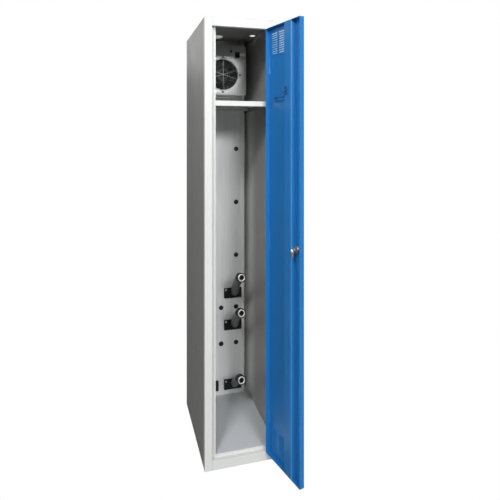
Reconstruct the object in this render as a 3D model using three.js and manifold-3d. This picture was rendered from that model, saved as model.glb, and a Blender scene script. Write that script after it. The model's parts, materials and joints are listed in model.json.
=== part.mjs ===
// Drying cabinet: a tall narrow steel locker with one hinged door, a hat shelf, a fan and
// heater housing in the upper compartment, and a warm-air duct with four outlet nozzles.
// Millimetres, +Z up. Origin: centre of the carcass footprint, on the floor. Front is -Y.
import * as THREE from 'three';
import { mergeVertices } from 'three/addons/utils/BufferGeometryUtils.js';
import Module from 'manifold-3d';

const wasm = await Module();
wasm.setup();

// ---------------------------------------------------------------- driving dimensions
const WIDTH = 300; // carcass, outside
const DEPTH = 500;
const HEIGHT = 1800;
const SHEET = 1; // carcass and door sheet
const BEND = 1.5; // outside radius of a fold
const GAP = 0.3; // assembly clearance between separate pieces
const BACK_FLANGE = 15; // fold of a side panel behind the back panel

const JAMB = 30; // width of the front strips beside the opening
const REBATE = 22; // depth of the recess that the door closes into
const STOP = 18; // stop flange behind the door's free side, beyond the jamb
const HINGE_STOP = 8; // the same on the hinge side
const SILL = 36; // height of the front strip under the opening
const HEAD = 35; // height of the front strip above the opening
const FLOOR_Z = 48; // top of the compartment floor
const HEAD_RETURN = 15; // upward fold behind the head rail
const SILL_RETURN = 15; // foot of the sill rail

const DOOR_GAP = 1.5; // play around the door leaf
const DOOR_T = 19.5; // thickness of the door pan
const DOOR_OPEN = 103.6; // degrees, door as it stands at rest
const STIFF_LEFT = 185; // hat stiffener, distance of its free-side foot from the hinge edge
const STIFF_WIDTH = 54; // between its two feet
const STIFF_SLOPE = 4; // inward slope of its webs
const STIFF_FOOT = 5;

const VENT_START = 20; // first vent column from the hinge edge
const VENT_SLOT = 38; // length of a slot
const VENT_SLOT_H = 3;
const VENT_BRIDGE = 14; // metal between the two columns
const VENT_PITCH = 9;
const VENT_ROWS = 10;
const VENT_BELOW = 61; // top row of the upper field, below the cabinet's top
const VENT_TOP_Z = HEIGHT - VENT_BELOW;
const VENT_LOW_Z = 143; // top row of the lower field

const HINGE_R = 5; // hinge barrel
const HINGE_PIN_R = 2.6;
const HINGE_LENGTH = 64;
const HINGE_TAB = 18; // reach of a hinge leaf behind the sheet
const HINGE_TAB_T = 2;
const HINGE_END = 190; // outer hinges, from the cabinet's ends
const HINGE_ZS = [HINGE_END, HEIGHT / 2, HEIGHT - HINGE_END];

const LOCK_FROM_HINGE = 203; // lock axis, measured from the hinge edge
const LOCK_ABOVE = 2; // lock axis above the middle
const LOCK_Z = HEIGHT / 2 + LOCK_ABOVE;
const LOCK_R = 9.5;
const LOCK_LENGTH = 24; // from the door's front face to the end of the barrel
const LOCK_ROSETTE_R = 14;
const LOCK_ROSETTE_T = 3;
const LOCK_NUT_R = 14.5;
const LOCK_NUT_T = 6;
const PLUG_R = 6.5;
const CAM_LENGTH = 26;
const CAM_WIDTH = 14;
const CAM_T = 2.5;

const SHELF_BELOW = 330; // shelf's upper side below the cabinet's top
const SHELF_TOP = HEIGHT - SHELF_BELOW;
const SHELF_LIP = 21;
const SHELF_LIP_RETURN = 10;
const SHELF_REAR_LIP = 15;
const SHELF_FRONT_GAP = 1; // behind the stop flanges
const PEG_R = 3;
const PEG_REACH = 10;

const DUCT_LEFT = -107; // warm-air duct cover, left and right faces
const DUCT_RIGHT = 131;
const DUCT_DEPTH = 53; // from the back panel to the cover's front
const COLUMN_MID = 13; // middle hole column of the cover
const COLUMN_STEP = 76; // to the columns beside it
const PLUG_ROWS = [1266, 1001, 737]; // plugs in the outer columns only
const PLUG_ROWS_ALL = [479, 301]; // plugs in all three columns
const BLIND_R = 11.5;
const BLIND_HOLE_R = 8;

const NOZZLE_ZS = [550, 392, 97]; // nozzles in the right column
const NOZZLE_LEFT_Z = 97; // nozzle in the left column
const BASE_W = 89;
const BASE_H = 50;
const BASE_T = 6;
const BASE_OFFSET = 62; // tube axis from the base's long end
const TUBE_R = 22;
const TUBE_END_R = 19;
const TUBE_FORWARD = 222; // reach of the nozzle in front of the duct cover
const TUBE_RISE = 137;
const TUBE_LEAN = 30;
const COLLAR_R = 20.5;
const COLLAR_LENGTH = 16;
const RING_R = 17.5;
const RING_BORE_R = 12.5;
const RING_T = 5;

const HOUSING_W = 230;
const HOUSING_BELOW = 277; // housing's underside below the cabinet's top
const HOUSING_BOTTOM = HEIGHT - HOUSING_BELOW;
const HOUSING_H = 238;
const HOUSING_DEPTH = 99; // from the duct cover to the housing's front
const HOUSING_T = 1.2;
const HOUSING_CORNER = 12;
const FAN_BELOW = 180;
const FAN_Z = HEIGHT - FAN_BELOW;
const FAN_R = 84; // outside of the round fan frame
const FAN_BORE_R = 74;
const FAN_DEPTH = 50;
const IMPELLER_R = 71.5;
const HUB_R = 34;
const BLADES = 7;
const GUARD_R = 72; // outermost wire ring
const GUARD_RINGS = 7;
const GUARD_STEP = 8.2;
const GUARD_WIRE = 1.1; // wire radius
const GUARD_STAND = 6; // in front of the housing
const GUARD_LEAN = 17; // degrees, the two crossing wires from the horizontal
const EAR_R = 83; // screw circle of the guard
const EAR_EYE_R = 4.5;
const EAR_SPREAD = 12; // degrees, each wire of an ear from its eye
const RIM_BEAD = 2.3; // bead round the fan opening, width and height
const RIM_SIDES = 36; // facets of the opening

const ROOF_FLANGE = 15; // folded edge of the roof inside the walls
const EXHAUST_X = -38; // round field of slits over the fan housing
const EXHAUST_Y = 107;
const EXHAUST_R = 39;
const EXHAUST_SLIT = 4;
const EXHAUST_PITCH = 8;
const EXHAUST_HALF_COUNT = 4; // slits on each side of the middle one
const CABLE_HOLE = { x: 130, y: 40, w: 22, d: 28 }; // oblong hole beside the housing
const GROMMET_R = 8; // hole of the mains inlet in the back panel
const GROMMET_X = 100;
const GROMMET_BELOW = 60;
const GROMMET_Z = HEIGHT - GROMMET_BELOW;
const PEG_INSET = 40;
const BASE_BOSS = 4; // ring round the foot of a nozzle
const RING_PROUD = 1.2; // ring in front of its collar
const GRID_DEPTH = 11; // floor of the mouth behind its rim
const GRID_H = 4;
const GRID_BAR = 1.8;
const GRID_BOSS_R = 3.6;
const PLUG_DOME = 3.4; // height of a blind plug's head
const PLUG_SHANK = 6;
const PIN_HEAD = 2.5; // head of a hinge pin
const SWITCH_IN = 45; // rocker switch, from the housing's right end and top
const SWITCH_DOWN = 46;
const SWITCH_W = 22;
const SWITCH_H = 30;
const SWITCH_BEZEL = 1.6;
const ROCKER_W = 16;
const ROCKER_H = 24;
const ROCKER_TILT = 9; // degrees
const LAMP_IN = 75; // indicator lamp beside the switch
const LAMP_DOWN = 29;
const LAMP_R = 5.5;
const PLATE_IN = 19; // bare plate on the housing's front
const PLATE_DOWN = 43;
const PLATE_W = 27;
const PLATE_H = 13;
const STRUT_T = 4.5; // struts of the fan frame
const MOTOR_T = 5;
const SHAFT_R = 3.2;
const HEATER_BORE = 146; // clear square inside the heater frame
const HEATER_WALL = 3;
const HEATER_SPACE = 8; // between fan and heater
const FIN_PITCH = 14;
const RAIL_FROM = 56; // towel rail, from and to, measured from the hinge edge
const RAIL_TO = 118;
const RAIL_BELOW = 323; // towel rail below the cabinet's top
const RAIL_Z = HEIGHT - RAIL_BELOW;
const RAIL_R = 2.6;
const RAIL_STAND = 14;
const HOOK_FROM = 148;
const HOOK_BELOW = 300;
const HOOK_Z = HEIGHT - HOOK_BELOW;

// ---------------------------------------------------------------- colours
const paint = (color, roughness, metalness) =>
  new THREE.MeshStandardMaterial({ color, roughness, metalness });
const lightGrey = paint(0xd6d7d5, 0.45, 0.1);
const blue = paint(0x1f5fa6, 0.4, 0.1);
const ductGrey = paint(0xa9abac, 0.4, 0.4);
const housingGrey = paint(0xb9bbbc, 0.4, 0.5);
const black = paint(0x1b1b1c, 0.6, 0);
const darkGrey = paint(0x3a3b3c, 0.6, 0);
const nickel = paint(0xb0aba2, 0.3, 0.9);
const chrome = paint(0xe6e6e6, 0.15, 1);
const white = paint(0xe9e9e6, 0.5, 0);
const aluminium = paint(0xc2c4c6, 0.4, 0.8);

// ---------------------------------------------------------------- geometry helpers
const HALF_W = WIDTH / 2;
const HALF_D = DEPTH / 2;
const V3 = (x, y, z) => new THREE.Vector3(x, y, z);

function bare(geometry) {
  const plain = geometry.clone();
  plain.deleteAttribute('normal');
  plain.deleteAttribute('uv');
  return mergeVertices(plain, 1e-4);
}

function toSolid(geometry) {
  const clean = bare(geometry);
  return new wasm.Manifold(new wasm.Mesh({
    numProp: 3,
    vertProperties: new Float32Array(clean.attributes.position.array),
    triVerts: new Uint32Array(clean.index.array),
  }));
}

function fromSolid(solid) {
  const mesh = solid.getMesh();
  const geometry = new THREE.BufferGeometry();
  geometry.setAttribute('position', new THREE.BufferAttribute(mesh.vertProperties, 3));
  geometry.setIndex(new THREE.BufferAttribute(mesh.triVerts, 1));
  return geometry;
}

function join(first, ...others) {
  let solid = toSolid(first);
  for (const other of others) solid = solid.add(toSolid(other));
  return fromSolid(solid);
}

function cut(body, ...tools) {
  let solid = toSolid(body);
  for (const tool of tools) solid = solid.subtract(toSolid(tool));
  return fromSolid(solid);
}

function box(x0, x1, y0, y1, z0, z1) {
  const geometry = new THREE.BoxGeometry(x1 - x0, y1 - y0, z1 - z0);
  return geometry.translate((x0 + x1) / 2, (y0 + y1) / 2, (z0 + z1) / 2);
}

// A cylinder along Y from y0 to y1.
function rodY(radius, x, z, y0, y1, sides = 24) {
  const geometry = new THREE.CylinderGeometry(radius, radius, y1 - y0, sides);
  return geometry.translate(x, (y0 + y1) / 2, z);
}

// A cylinder along Z from z0 to z1.
function rodZ(radius, x, y, z0, z1, sides = 20) {
  const geometry = new THREE.CylinderGeometry(radius, radius, z1 - z0, sides);
  return geometry.rotateX(Math.PI / 2).translate(x, y, (z0 + z1) / 2);
}

// A cylinder along X from x0 to x1.
function rodX(radius, y, z, x0, x1, sides = 12) {
  const geometry = new THREE.CylinderGeometry(radius, radius, x1 - x0, sides);
  return geometry.rotateZ(Math.PI / 2).translate((x0 + x1) / 2, y, z);
}

// Rounds the inner corners of an open polyline of [a, b] points.
function roundCorners(points, radius, steps = 3) {
  const out = [points[0]];
  for (let i = 1; i < points.length - 1; i += 1) {
    const corner = new THREE.Vector2(...points[i]);
    const before = new THREE.Vector2(...points[i - 1]).sub(corner).normalize();
    const after = new THREE.Vector2(...points[i + 1]).sub(corner).normalize();
    const half = Math.acos(THREE.MathUtils.clamp(before.dot(after), -1, 1)) / 2;
    const run = radius / Math.tan(half);
    const middle = before.clone().add(after).normalize().multiplyScalar(radius / Math.sin(half));
    const centre = corner.clone().add(middle);
    const from = corner.clone().addScaledVector(before, run).sub(centre);
    const to = corner.clone().addScaledVector(after, run).sub(centre);
    let turn = to.angle() - from.angle();
    if (turn > Math.PI) turn -= 2 * Math.PI;
    if (turn < -Math.PI) turn += 2 * Math.PI;
    for (let k = 0; k <= steps; k += 1) {
      const p = from.clone().rotateAround(new THREE.Vector2(), (turn * k) / steps).add(centre);
      out.push([p.x, p.y]);
    }
  }
  out.push(points[points.length - 1]);
  return out;
}

// Outline of a folded sheet: the path is its outer face, the sheet lies to its left.
function sheetShape(path, thickness) {
  const inner = path.map((point, i) => {
    const here = new THREE.Vector2(...point);
    const last = new THREE.Vector2(...(path[i - 1] ?? point));
    const next = new THREE.Vector2(...(path[i + 1] ?? point));
    const a = here.clone().sub(last);
    const b = next.clone().sub(here);
    if (a.length() === 0) a.copy(b);
    if (b.length() === 0) b.copy(a);
    a.normalize();
    b.normalize();
    const normal = new THREE.Vector2(-a.y - b.y, a.x + b.x).normalize();
    const reach = thickness / Math.max(0.2, normal.dot(new THREE.Vector2(-a.y, a.x)));
    return here.addScaledVector(normal, reach);
  });
  const outline = path.map((point) => new THREE.Vector2(...point)).concat(inner.reverse());
  return new THREE.Shape(outline);
}

// A folded sheet whose section lies in X-Y, standing from z0 to z1.
function foldedZ(points, z0, z1, thickness = SHEET) {
  const shape = sheetShape(roundCorners(points, BEND), thickness);
  const geometry = new THREE.ExtrudeGeometry(shape, { depth: z1 - z0, bevelEnabled: false });
  return geometry.translate(0, 0, z0);
}

// A folded sheet whose section lies in Y-Z, running from x0 to x1.
function foldedX(points, x0, x1, thickness = SHEET) {
  const shape = sheetShape(roundCorners(points, BEND), thickness);
  const geometry = new THREE.ExtrudeGeometry(shape, { depth: x1 - x0, bevelEnabled: false });
  geometry.applyMatrix4(new THREE.Matrix4().makeBasis(V3(0, 1, 0), V3(0, 0, 1), V3(1, 0, 0)));
  return geometry.translate(x0, 0, 0);
}

// The same piece for the other side: the facets are turned over to keep facing out.
function mirrorX(geometry) {
  const flipped = bare(geometry).scale(-1, 1, 1);
  const { array } = flipped.index;
  for (let i = 0; i < array.length; i += 3) {
    [array[i], array[i + 1]] = [array[i + 1], array[i]];
  }
  return flipped;
}

// A rectangle with round corners in X-Z, standing from y0 to y1.
function roundedBlock(x0, x1, z0, z1, radius, y0, y1) {
  const shape = new THREE.Shape();
  shape.moveTo(x0 + radius, z0);
  shape.lineTo(x1 - radius, z0);
  shape.absarc(x1 - radius, z0 + radius, radius, -Math.PI / 2, 0);
  shape.lineTo(x1, z1 - radius);
  shape.absarc(x1 - radius, z1 - radius, radius, 0, Math.PI / 2);
  shape.lineTo(x0 + radius, z1);
  shape.absarc(x0 + radius, z1 - radius, radius, Math.PI / 2, Math.PI);
  shape.lineTo(x0, z0 + radius);
  shape.absarc(x0 + radius, z0 + radius, radius, Math.PI, 1.5 * Math.PI);
  const depth = y1 - y0;
  const geometry = new THREE.ExtrudeGeometry(shape, { depth, bevelEnabled: false, curveSegments: 4 });
  return geometry.rotateX(Math.PI / 2).translate(0, y1, 0);
}

// A turned piece along Y: profile points are [radius, y].
function turnedY(profile, sides = 28) {
  const points = profile.map(([radius, y]) => new THREE.Vector2(radius, y));
  return new THREE.LatheGeometry(points, sides);
}

// A closed tube along a curve, its radius running evenly from r0 to r1.
function taperedTube(curve, r0, r1, sides, steps) {
  const frames = curve.computeFrenetFrames(steps, false);
  const positions = [];
  const indices = [];
  for (let i = 0; i <= steps; i += 1) {
    const centre = curve.getPointAt(i / steps);
    const radius = r0 + ((r1 - r0) * i) / steps;
    for (let k = 0; k < sides; k += 1) {
      const angle = (2 * Math.PI * k) / sides;
      const p = centre.clone();
      p.addScaledVector(frames.normals[i], radius * Math.cos(angle));
      p.addScaledVector(frames.binormals[i], radius * Math.sin(angle));
      positions.push(p.x, p.y, p.z);
    }
  }
  for (let i = 0; i < steps; i += 1) {
    for (let k = 0; k < sides; k += 1) {
      const a = i * sides + k;
      const b = i * sides + ((k + 1) % sides);
      indices.push(a, b, b + sides, a, b + sides, a + sides);
    }
  }
  for (let k = 1; k < sides - 1; k += 1) {
    indices.push(0, k + 1, k);
    const last = steps * sides;
    indices.push(last, last + k, last + k + 1);
  }
  const geometry = new THREE.BufferGeometry();
  geometry.setAttribute('position', new THREE.Float32BufferAttribute(positions, 3));
  geometry.setIndex(indices);
  return geometry;
}

// ---------------------------------------------------------------- carcass
const FRONT = -HALF_D;
const STOP_Y = FRONT + REBATE;
const BEHIND_STOP = STOP_Y + SHEET + GAP;
const BACK_FACE = HALF_D - SHEET - GAP; // rear of the back panel
const BACK_INNER = BACK_FACE - SHEET; // front of the back panel
const INNER_X = HALF_W - SHEET - GAP; // half width of what stands between the side panels
const OPENING_X = HALF_W - JAMB;
const HEAD_Z = HEIGHT - HEAD;
const WALL_TOP = HEIGHT - SHEET - GAP; // the roof lies on the walls
const DUCT_FRONT = BACK_INNER - GAP - DUCT_DEPTH;
const SHELF_FRONT = BEHIND_STOP + SHELF_FRONT_GAP;
const SHELF_REAR = DUCT_FRONT - GAP;

// The hinge axis stands in the gap between leaf and jamb, in the plane of the front.
const PIN_X = OPENING_X - DOOR_GAP / 2;
const LEAF_EDGE = OPENING_X - DOOR_GAP; // hinge edge of the closed leaf
const LEAF_FREE = -OPENING_X + DOOR_GAP;
const LEAF_BOTTOM = SILL + DOOR_GAP;
const LEAF_TOP = HEAD_Z - DOOR_GAP;

function sidePanel(stop) {
  return foldedZ([
    [-HALF_W + BACK_FLANGE, HALF_D],
    [-HALF_W, HALF_D],
    [-HALF_W, FRONT],
    [-OPENING_X, FRONT],
    [-OPENING_X, STOP_Y],
    [-OPENING_X + stop, STOP_Y],
  ], 0, WALL_TOP);
}

// Studs welded to the wall carry the shelf.
function shelfStuds() {
  const z = SHELF_TOP - SHEET - GAP - PEG_R;
  const ys = [SHELF_FRONT + PEG_INSET, SHELF_REAR - PEG_INSET];
  return ys.map((y) => rodX(PEG_R, y, z, -HALF_W + SHEET / 2, -INNER_X + PEG_REACH));
}

// Room for the hinge barrels in the corner of the jamb and of the leaf.
function hingeNotches() {
  const low = HINGE_LENGTH / 2 + GAP;
  const high = low + PIN_HEAD + GAP;
  return HINGE_ZS.map((z) => rodZ(HINGE_R + 2 * GAP, PIN_X, FRONT, z - low, z + high, 12));
}

const knuckle = (z0, z1) => rodZ(HINGE_R, PIN_X, FRONT, z0, z1, 14);

const knuckleBore = (z0, z1) => rodZ(HINGE_PIN_R + GAP, PIN_X, FRONT, z0 - 1, z1 + 1, 10);

// Half of each hinge, welded behind the front sheet: side is 1 on the jamb, -1 on the leaf.
function withHingeLeaves(panel, side, from, to) {
  const near = PIN_X + side * (HINGE_R - 1.5);
  const far = PIN_X + side * (HINGE_R + HINGE_TAB);
  const leaves = HINGE_ZS.flatMap((z) => [
    knuckle(z + from, z + to),
    box(Math.min(near, far), Math.max(near, far), FRONT + SHEET / 2, FRONT + SHEET / 2 + HINGE_TAB_T,
      z + from, z + to),
  ]);
  const bores = HINGE_ZS.map((z) => knuckleBore(z + from, z + to));
  return cut(join(cut(panel, ...hingeNotches()), ...leaves), ...bores);
}

const leftSide = () => join(sidePanel(STOP), ...shelfStuds());

function rightSide() {
  const wall = mirrorX(join(sidePanel(HINGE_STOP), ...shelfStuds()));
  return withHingeLeaves(wall, 1, -HINGE_LENGTH / 2, -GAP / 2);
}

function roof() {
  const lid = box(-HALF_W, HALF_W, FRONT, HALF_D, HEIGHT - SHEET, HEIGHT);
  const flange = box(-INNER_X, -INNER_X + SHEET, BEHIND_STOP, BACK_INNER - GAP,
    HEIGHT - ROOF_FLANGE, HEIGHT - SHEET / 2);
  const { x, y, w, d } = CABLE_HOLE;
  const through = (x0, x1, y0, y1) => box(x0, x1, y0, y1, HEIGHT - 2 * SHEET, HEIGHT + SHEET);
  const holes = [through(x - w / 2, x + w / 2, y - d / 2, y + d / 2)];
  for (let k = -EXHAUST_HALF_COUNT; k <= EXHAUST_HALF_COUNT; k += 1) {
    const reach = Math.sqrt(EXHAUST_R ** 2 - (k * EXHAUST_PITCH) ** 2);
    const middle = EXHAUST_Y + k * EXHAUST_PITCH;
    holes.push(through(EXHAUST_X - reach, EXHAUST_X + reach,
      middle - EXHAUST_SLIT / 2, middle + EXHAUST_SLIT / 2));
  }
  return cut(join(lid, flange, mirrorX(flange)), ...holes);
}

function backPanel() {
  const panel = box(-INNER_X, INNER_X, BACK_INNER, BACK_FACE, SHEET + 2 * GAP, WALL_TOP);
  return cut(panel, rodY(GROMMET_R, GROMMET_X, GROMMET_Z, BACK_INNER - 1, BACK_FACE + 1, 16));
}

// The grommet of the mains inlet: a grooved rubber ring with a closed membrane.
function inletGrommet() {
  const lip = GROMMET_R + 2.5;
  const neck = GROMMET_R - GAP;
  const ring = turnedY([
    [0, BACK_INNER - 1.6],
    [lip, BACK_INNER - 1.6],
    [lip, BACK_INNER - GAP],
    [neck, BACK_INNER - GAP],
    [neck, BACK_FACE + GAP],
    [lip, BACK_FACE + GAP],
    [lip, HALF_D - 0.1],
    [0, HALF_D - 0.1],
  ], 12);
  return ring.translate(GROMMET_X, 0, GROMMET_Z);
}

const basePlate = () => box(-INNER_X, INNER_X, BEHIND_STOP, BACK_INNER - GAP, 0, SHEET);

function floorPanel() {
  return box(-INNER_X, INNER_X, BEHIND_STOP, BACK_INNER - GAP, FLOOR_Z - SHEET, FLOOR_Z);
}

function sillRail() {
  const rail = foldedX([
    [STOP_Y, FLOOR_Z],
    [STOP_Y, SILL],
    [FRONT, SILL],
    [FRONT, 0],
    [FRONT + SILL_RETURN, 0],
  ], -OPENING_X + GAP, OPENING_X - GAP);
  const corner = (stop) => box(-OPENING_X, -OPENING_X + stop + GAP, STOP_Y - BEND,
    STOP_Y + BEND + SHEET, SILL - 2 * BEND, FLOOR_Z + SHEET);
  return cut(rail, corner(STOP), mirrorX(corner(HINGE_STOP)));
}

function headRail() {
  return foldedX([
    [FRONT, WALL_TOP],
    [FRONT, HEAD_Z],
    [STOP_Y - BEND, HEAD_Z],
    [STOP_Y - BEND, HEAD_Z + HEAD_RETURN],
  ], -OPENING_X + GAP, OPENING_X - GAP);
}

// ---------------------------------------------------------------- shelf
function shelf() {
  return foldedX([
    [SHELF_REAR, SHELF_TOP - SHELF_REAR_LIP],
    [SHELF_REAR, SHELF_TOP],
    [SHELF_FRONT, SHELF_TOP],
    [SHELF_FRONT, SHELF_TOP - SHELF_LIP],
    [SHELF_FRONT + SHELF_LIP_RETURN, SHELF_TOP - SHELF_LIP],
  ], -INNER_X, INNER_X);
}

// ---------------------------------------------------------------- warm-air duct
const COLUMNS = [COLUMN_MID - COLUMN_STEP, COLUMN_MID, COLUMN_MID + COLUMN_STEP];
const NOZZLES = NOZZLE_ZS.map((z) => ({ x: COLUMNS[2], z, side: -1 }));
NOZZLES.push({ x: COLUMNS[0], z: NOZZLE_LEFT_Z, side: 1 });

function blindSpots() {
  const outer = PLUG_ROWS.flatMap((z) => [COLUMNS[0], COLUMNS[2]].map((x) => ({ x, z })));
  return outer.concat(PLUG_ROWS_ALL.flatMap((z) => COLUMNS.map((x) => ({ x, z }))));
}

function ductCover() {
  const cover = foldedZ([
    [DUCT_LEFT, BACK_INNER - GAP],
    [DUCT_LEFT, DUCT_FRONT],
    [DUCT_RIGHT, DUCT_FRONT],
    [DUCT_RIGHT, BACK_INNER - GAP],
  ], FLOOR_Z + GAP, HEIGHT - SHEET - GAP);
  const drill = (radius, x, z, sides) => rodY(radius, x, z, DUCT_FRONT - 1, DUCT_FRONT + 3, sides);
  const holes = blindSpots().map(({ x, z }) => drill(BLIND_HOLE_R, x, z, 10));
  for (const { x, z } of NOZZLES) holes.push(drill(TUBE_R - BASE_T, x, z, 16));
  const half = HEATER_BORE / 2;
  holes.push(box(-half, half, DUCT_FRONT - 1, DUCT_FRONT + 3, FAN_Z - half, FAN_Z + half));
  return cut(cover, ...holes);
}

// A domed plastic plug, its shank through the hole.
function blindPlug({ x, z }) {
  const seat = DUCT_FRONT - GAP;
  return turnedY([
    [0, seat - PLUG_DOME],
    [BLIND_R * 0.7, seat - PLUG_DOME * 0.75],
    [BLIND_R, seat],
    [BLIND_HOLE_R - GAP, seat],
    [BLIND_HOLE_R - GAP, seat + PLUG_SHANK],
    [0, seat + PLUG_SHANK],
  ], 10).translate(x, 0, z);
}

// ---------------------------------------------------------------- outlet nozzles
// side is -1 where the plate's long end points to the left of the tube, 1 where to the right.
const BASE_REAR = DUCT_FRONT - GAP;
const BASE_FRONT = BASE_REAR - BASE_T;

function baseEnds({ x, side }) {
  const far = x + side * BASE_OFFSET;
  const near = x - side * (BASE_W - BASE_OFFSET);
  return [Math.min(far, near), Math.max(far, near)];
}

function nozzleBase(place) {
  const [x0, x1] = baseEnds(place);
  const plate = roundedBlock(x0, x1, place.z - BASE_H / 2, place.z + BASE_H / 2, 4,
    BASE_FRONT, BASE_REAR);
  const collar = rodY(TUBE_R + 1.5, place.x, place.z, BASE_FRONT - BASE_BOSS, BASE_FRONT + 1, 16);
  return join(plate, collar);
}

// The elbow leaves the plate square to it and bends up towards its mouth.
const TUBE_START = BASE_FRONT - BASE_BOSS - GAP;
const TUBE_END_Y = DUCT_FRONT - TUBE_FORWARD;
const elbow = new THREE.CubicBezierCurve3(
  V3(0, TUBE_START, 0),
  V3(0, TUBE_START - TUBE_FORWARD * 0.35, 0),
  V3(-TUBE_LEAN * 0.78, TUBE_END_Y + TUBE_FORWARD * 0.22, TUBE_RISE * 0.78),
  V3(-TUBE_LEAN, TUBE_END_Y, TUBE_RISE),
);
const MOUTH = elbow.getPointAt(1);
const AIM = elbow.getTangentAt(1);

// Turned pieces of the mouth are drawn along +Y of their own and then aimed.
function atMouth(geometry, place) {
  const turn = new THREE.Quaternion().setFromUnitVectors(V3(0, 1, 0), AIM);
  geometry.applyQuaternion(turn);
  return geometry.translate(place.x + MOUTH.x, MOUTH.y, place.z + MOUTH.z);
}

// The moulded elbow: its mouth has a collar, a seat for the ring and a grid set back in it.
function nozzleTube(place) {
  const tube = taperedTube(elbow, TUBE_R, TUBE_END_R, 12, 8).translate(place.x, 0, place.z);
  const collar = turnedY([
    [0, -COLLAR_LENGTH],
    [COLLAR_R - 1.5, -COLLAR_LENGTH],
    [COLLAR_R, -COLLAR_LENGTH + 1.5],
    [COLLAR_R, 0],
    [0, 0],
  ], 16);
  const seat = rodY(RING_R + 2 * GAP, 0, 0, -RING_T, 5, 16);
  const mouth = rodY(RING_BORE_R, 0, 0, -GRID_DEPTH, 5, 16);
  const floor = -GRID_DEPTH - 0.5;
  const boss = rodY(GRID_BOSS_R, 0, 0, floor, floor + GRID_H, 8);
  const bars = [0, 1].map((k) => {
    const bar = box(-GRID_BAR / 2, GRID_BAR / 2, floor, floor + GRID_H, -RING_BORE_R - 1, RING_BORE_R + 1);
    return bar.rotateY((k * Math.PI) / 2);
  });
  const grid = [boss, ...bars].map((piece) => atMouth(piece, place));
  const hollow = cut(join(tube, atMouth(collar, place)), atMouth(seat, place), atMouth(mouth, place));
  return join(hollow, ...grid);
}

function nozzleRing(place) {
  const back = -RING_T + GAP;
  return atMouth(turnedY([
    [RING_R, back],
    [RING_R, RING_PROUD - 1.2],
    [RING_R - 1.2, RING_PROUD],
    [RING_BORE_R + 1, RING_PROUD],
    [RING_BORE_R, RING_PROUD - 0.8],
    [RING_BORE_R, back],
    [RING_R, back],
  ], 16), place);
}

// ---------------------------------------------------------------- fan and heater housing
const HOUSING_REAR = DUCT_FRONT - GAP;
const HOUSING_FRONT = DUCT_FRONT - HOUSING_DEPTH;
const HOUSING_X = HOUSING_W / 2;
const HOUSING_TOP = HOUSING_BOTTOM + HOUSING_H;
const SWITCH_X = HOUSING_X - SWITCH_IN;
const SWITCH_Z = HOUSING_TOP - SWITCH_DOWN;
const LAMP_X = HOUSING_X - LAMP_IN;
const LAMP_Z = HOUSING_TOP - LAMP_DOWN;
const PLATE_X = HOUSING_X - PLATE_IN;
const PLATE_Z = HOUSING_TOP - PLATE_DOWN;

function fanHousing() {
  const shell = roundedBlock(-HOUSING_X, HOUSING_X, HOUSING_BOTTOM, HOUSING_TOP, HOUSING_CORNER,
    HOUSING_FRONT, HOUSING_REAR);
  const inside = roundedBlock(-HOUSING_X + HOUSING_T, HOUSING_X - HOUSING_T,
    HOUSING_BOTTOM + HOUSING_T, HOUSING_TOP - HOUSING_T, HOUSING_CORNER - HOUSING_T,
    HOUSING_FRONT + HOUSING_T, HOUSING_REAR + 5);
  const beadTop = HOUSING_FRONT - RIM_BEAD;
  const rim = turnedY([
    [FAN_BORE_R - 2, HOUSING_FRONT + HOUSING_T / 2],
    [FAN_BORE_R - 2, beadTop],
    [FAN_BORE_R + RIM_BEAD * 0.5, beadTop],
    [FAN_BORE_R + RIM_BEAD * 0.85, beadTop + RIM_BEAD * 0.3],
    [FAN_BORE_R + RIM_BEAD, HOUSING_FRONT + HOUSING_T / 2],
    [FAN_BORE_R - 2, HOUSING_FRONT + HOUSING_T / 2],
  ], RIM_SIDES).rotateY(Math.PI / RIM_SIDES).translate(0, 0, FAN_Z);
  const bore = rodY(FAN_BORE_R, 0, FAN_Z, HOUSING_FRONT - 5, HOUSING_FRONT + 5, RIM_SIDES);
  const window = box(SWITCH_X - ROCKER_W / 2 - GAP, SWITCH_X + ROCKER_W / 2 + GAP, HOUSING_FRONT - 1,
    HOUSING_FRONT + 3, SWITCH_Z - ROCKER_H / 2 - GAP, SWITCH_Z + ROCKER_H / 2 + GAP);
  const lampHole = rodY(LAMP_R - 1, LAMP_X, LAMP_Z, HOUSING_FRONT - 1, HOUSING_FRONT + 3, 12);
  return cut(join(cut(shell, inside), rim), bore, window, lampHole);
}

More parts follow.
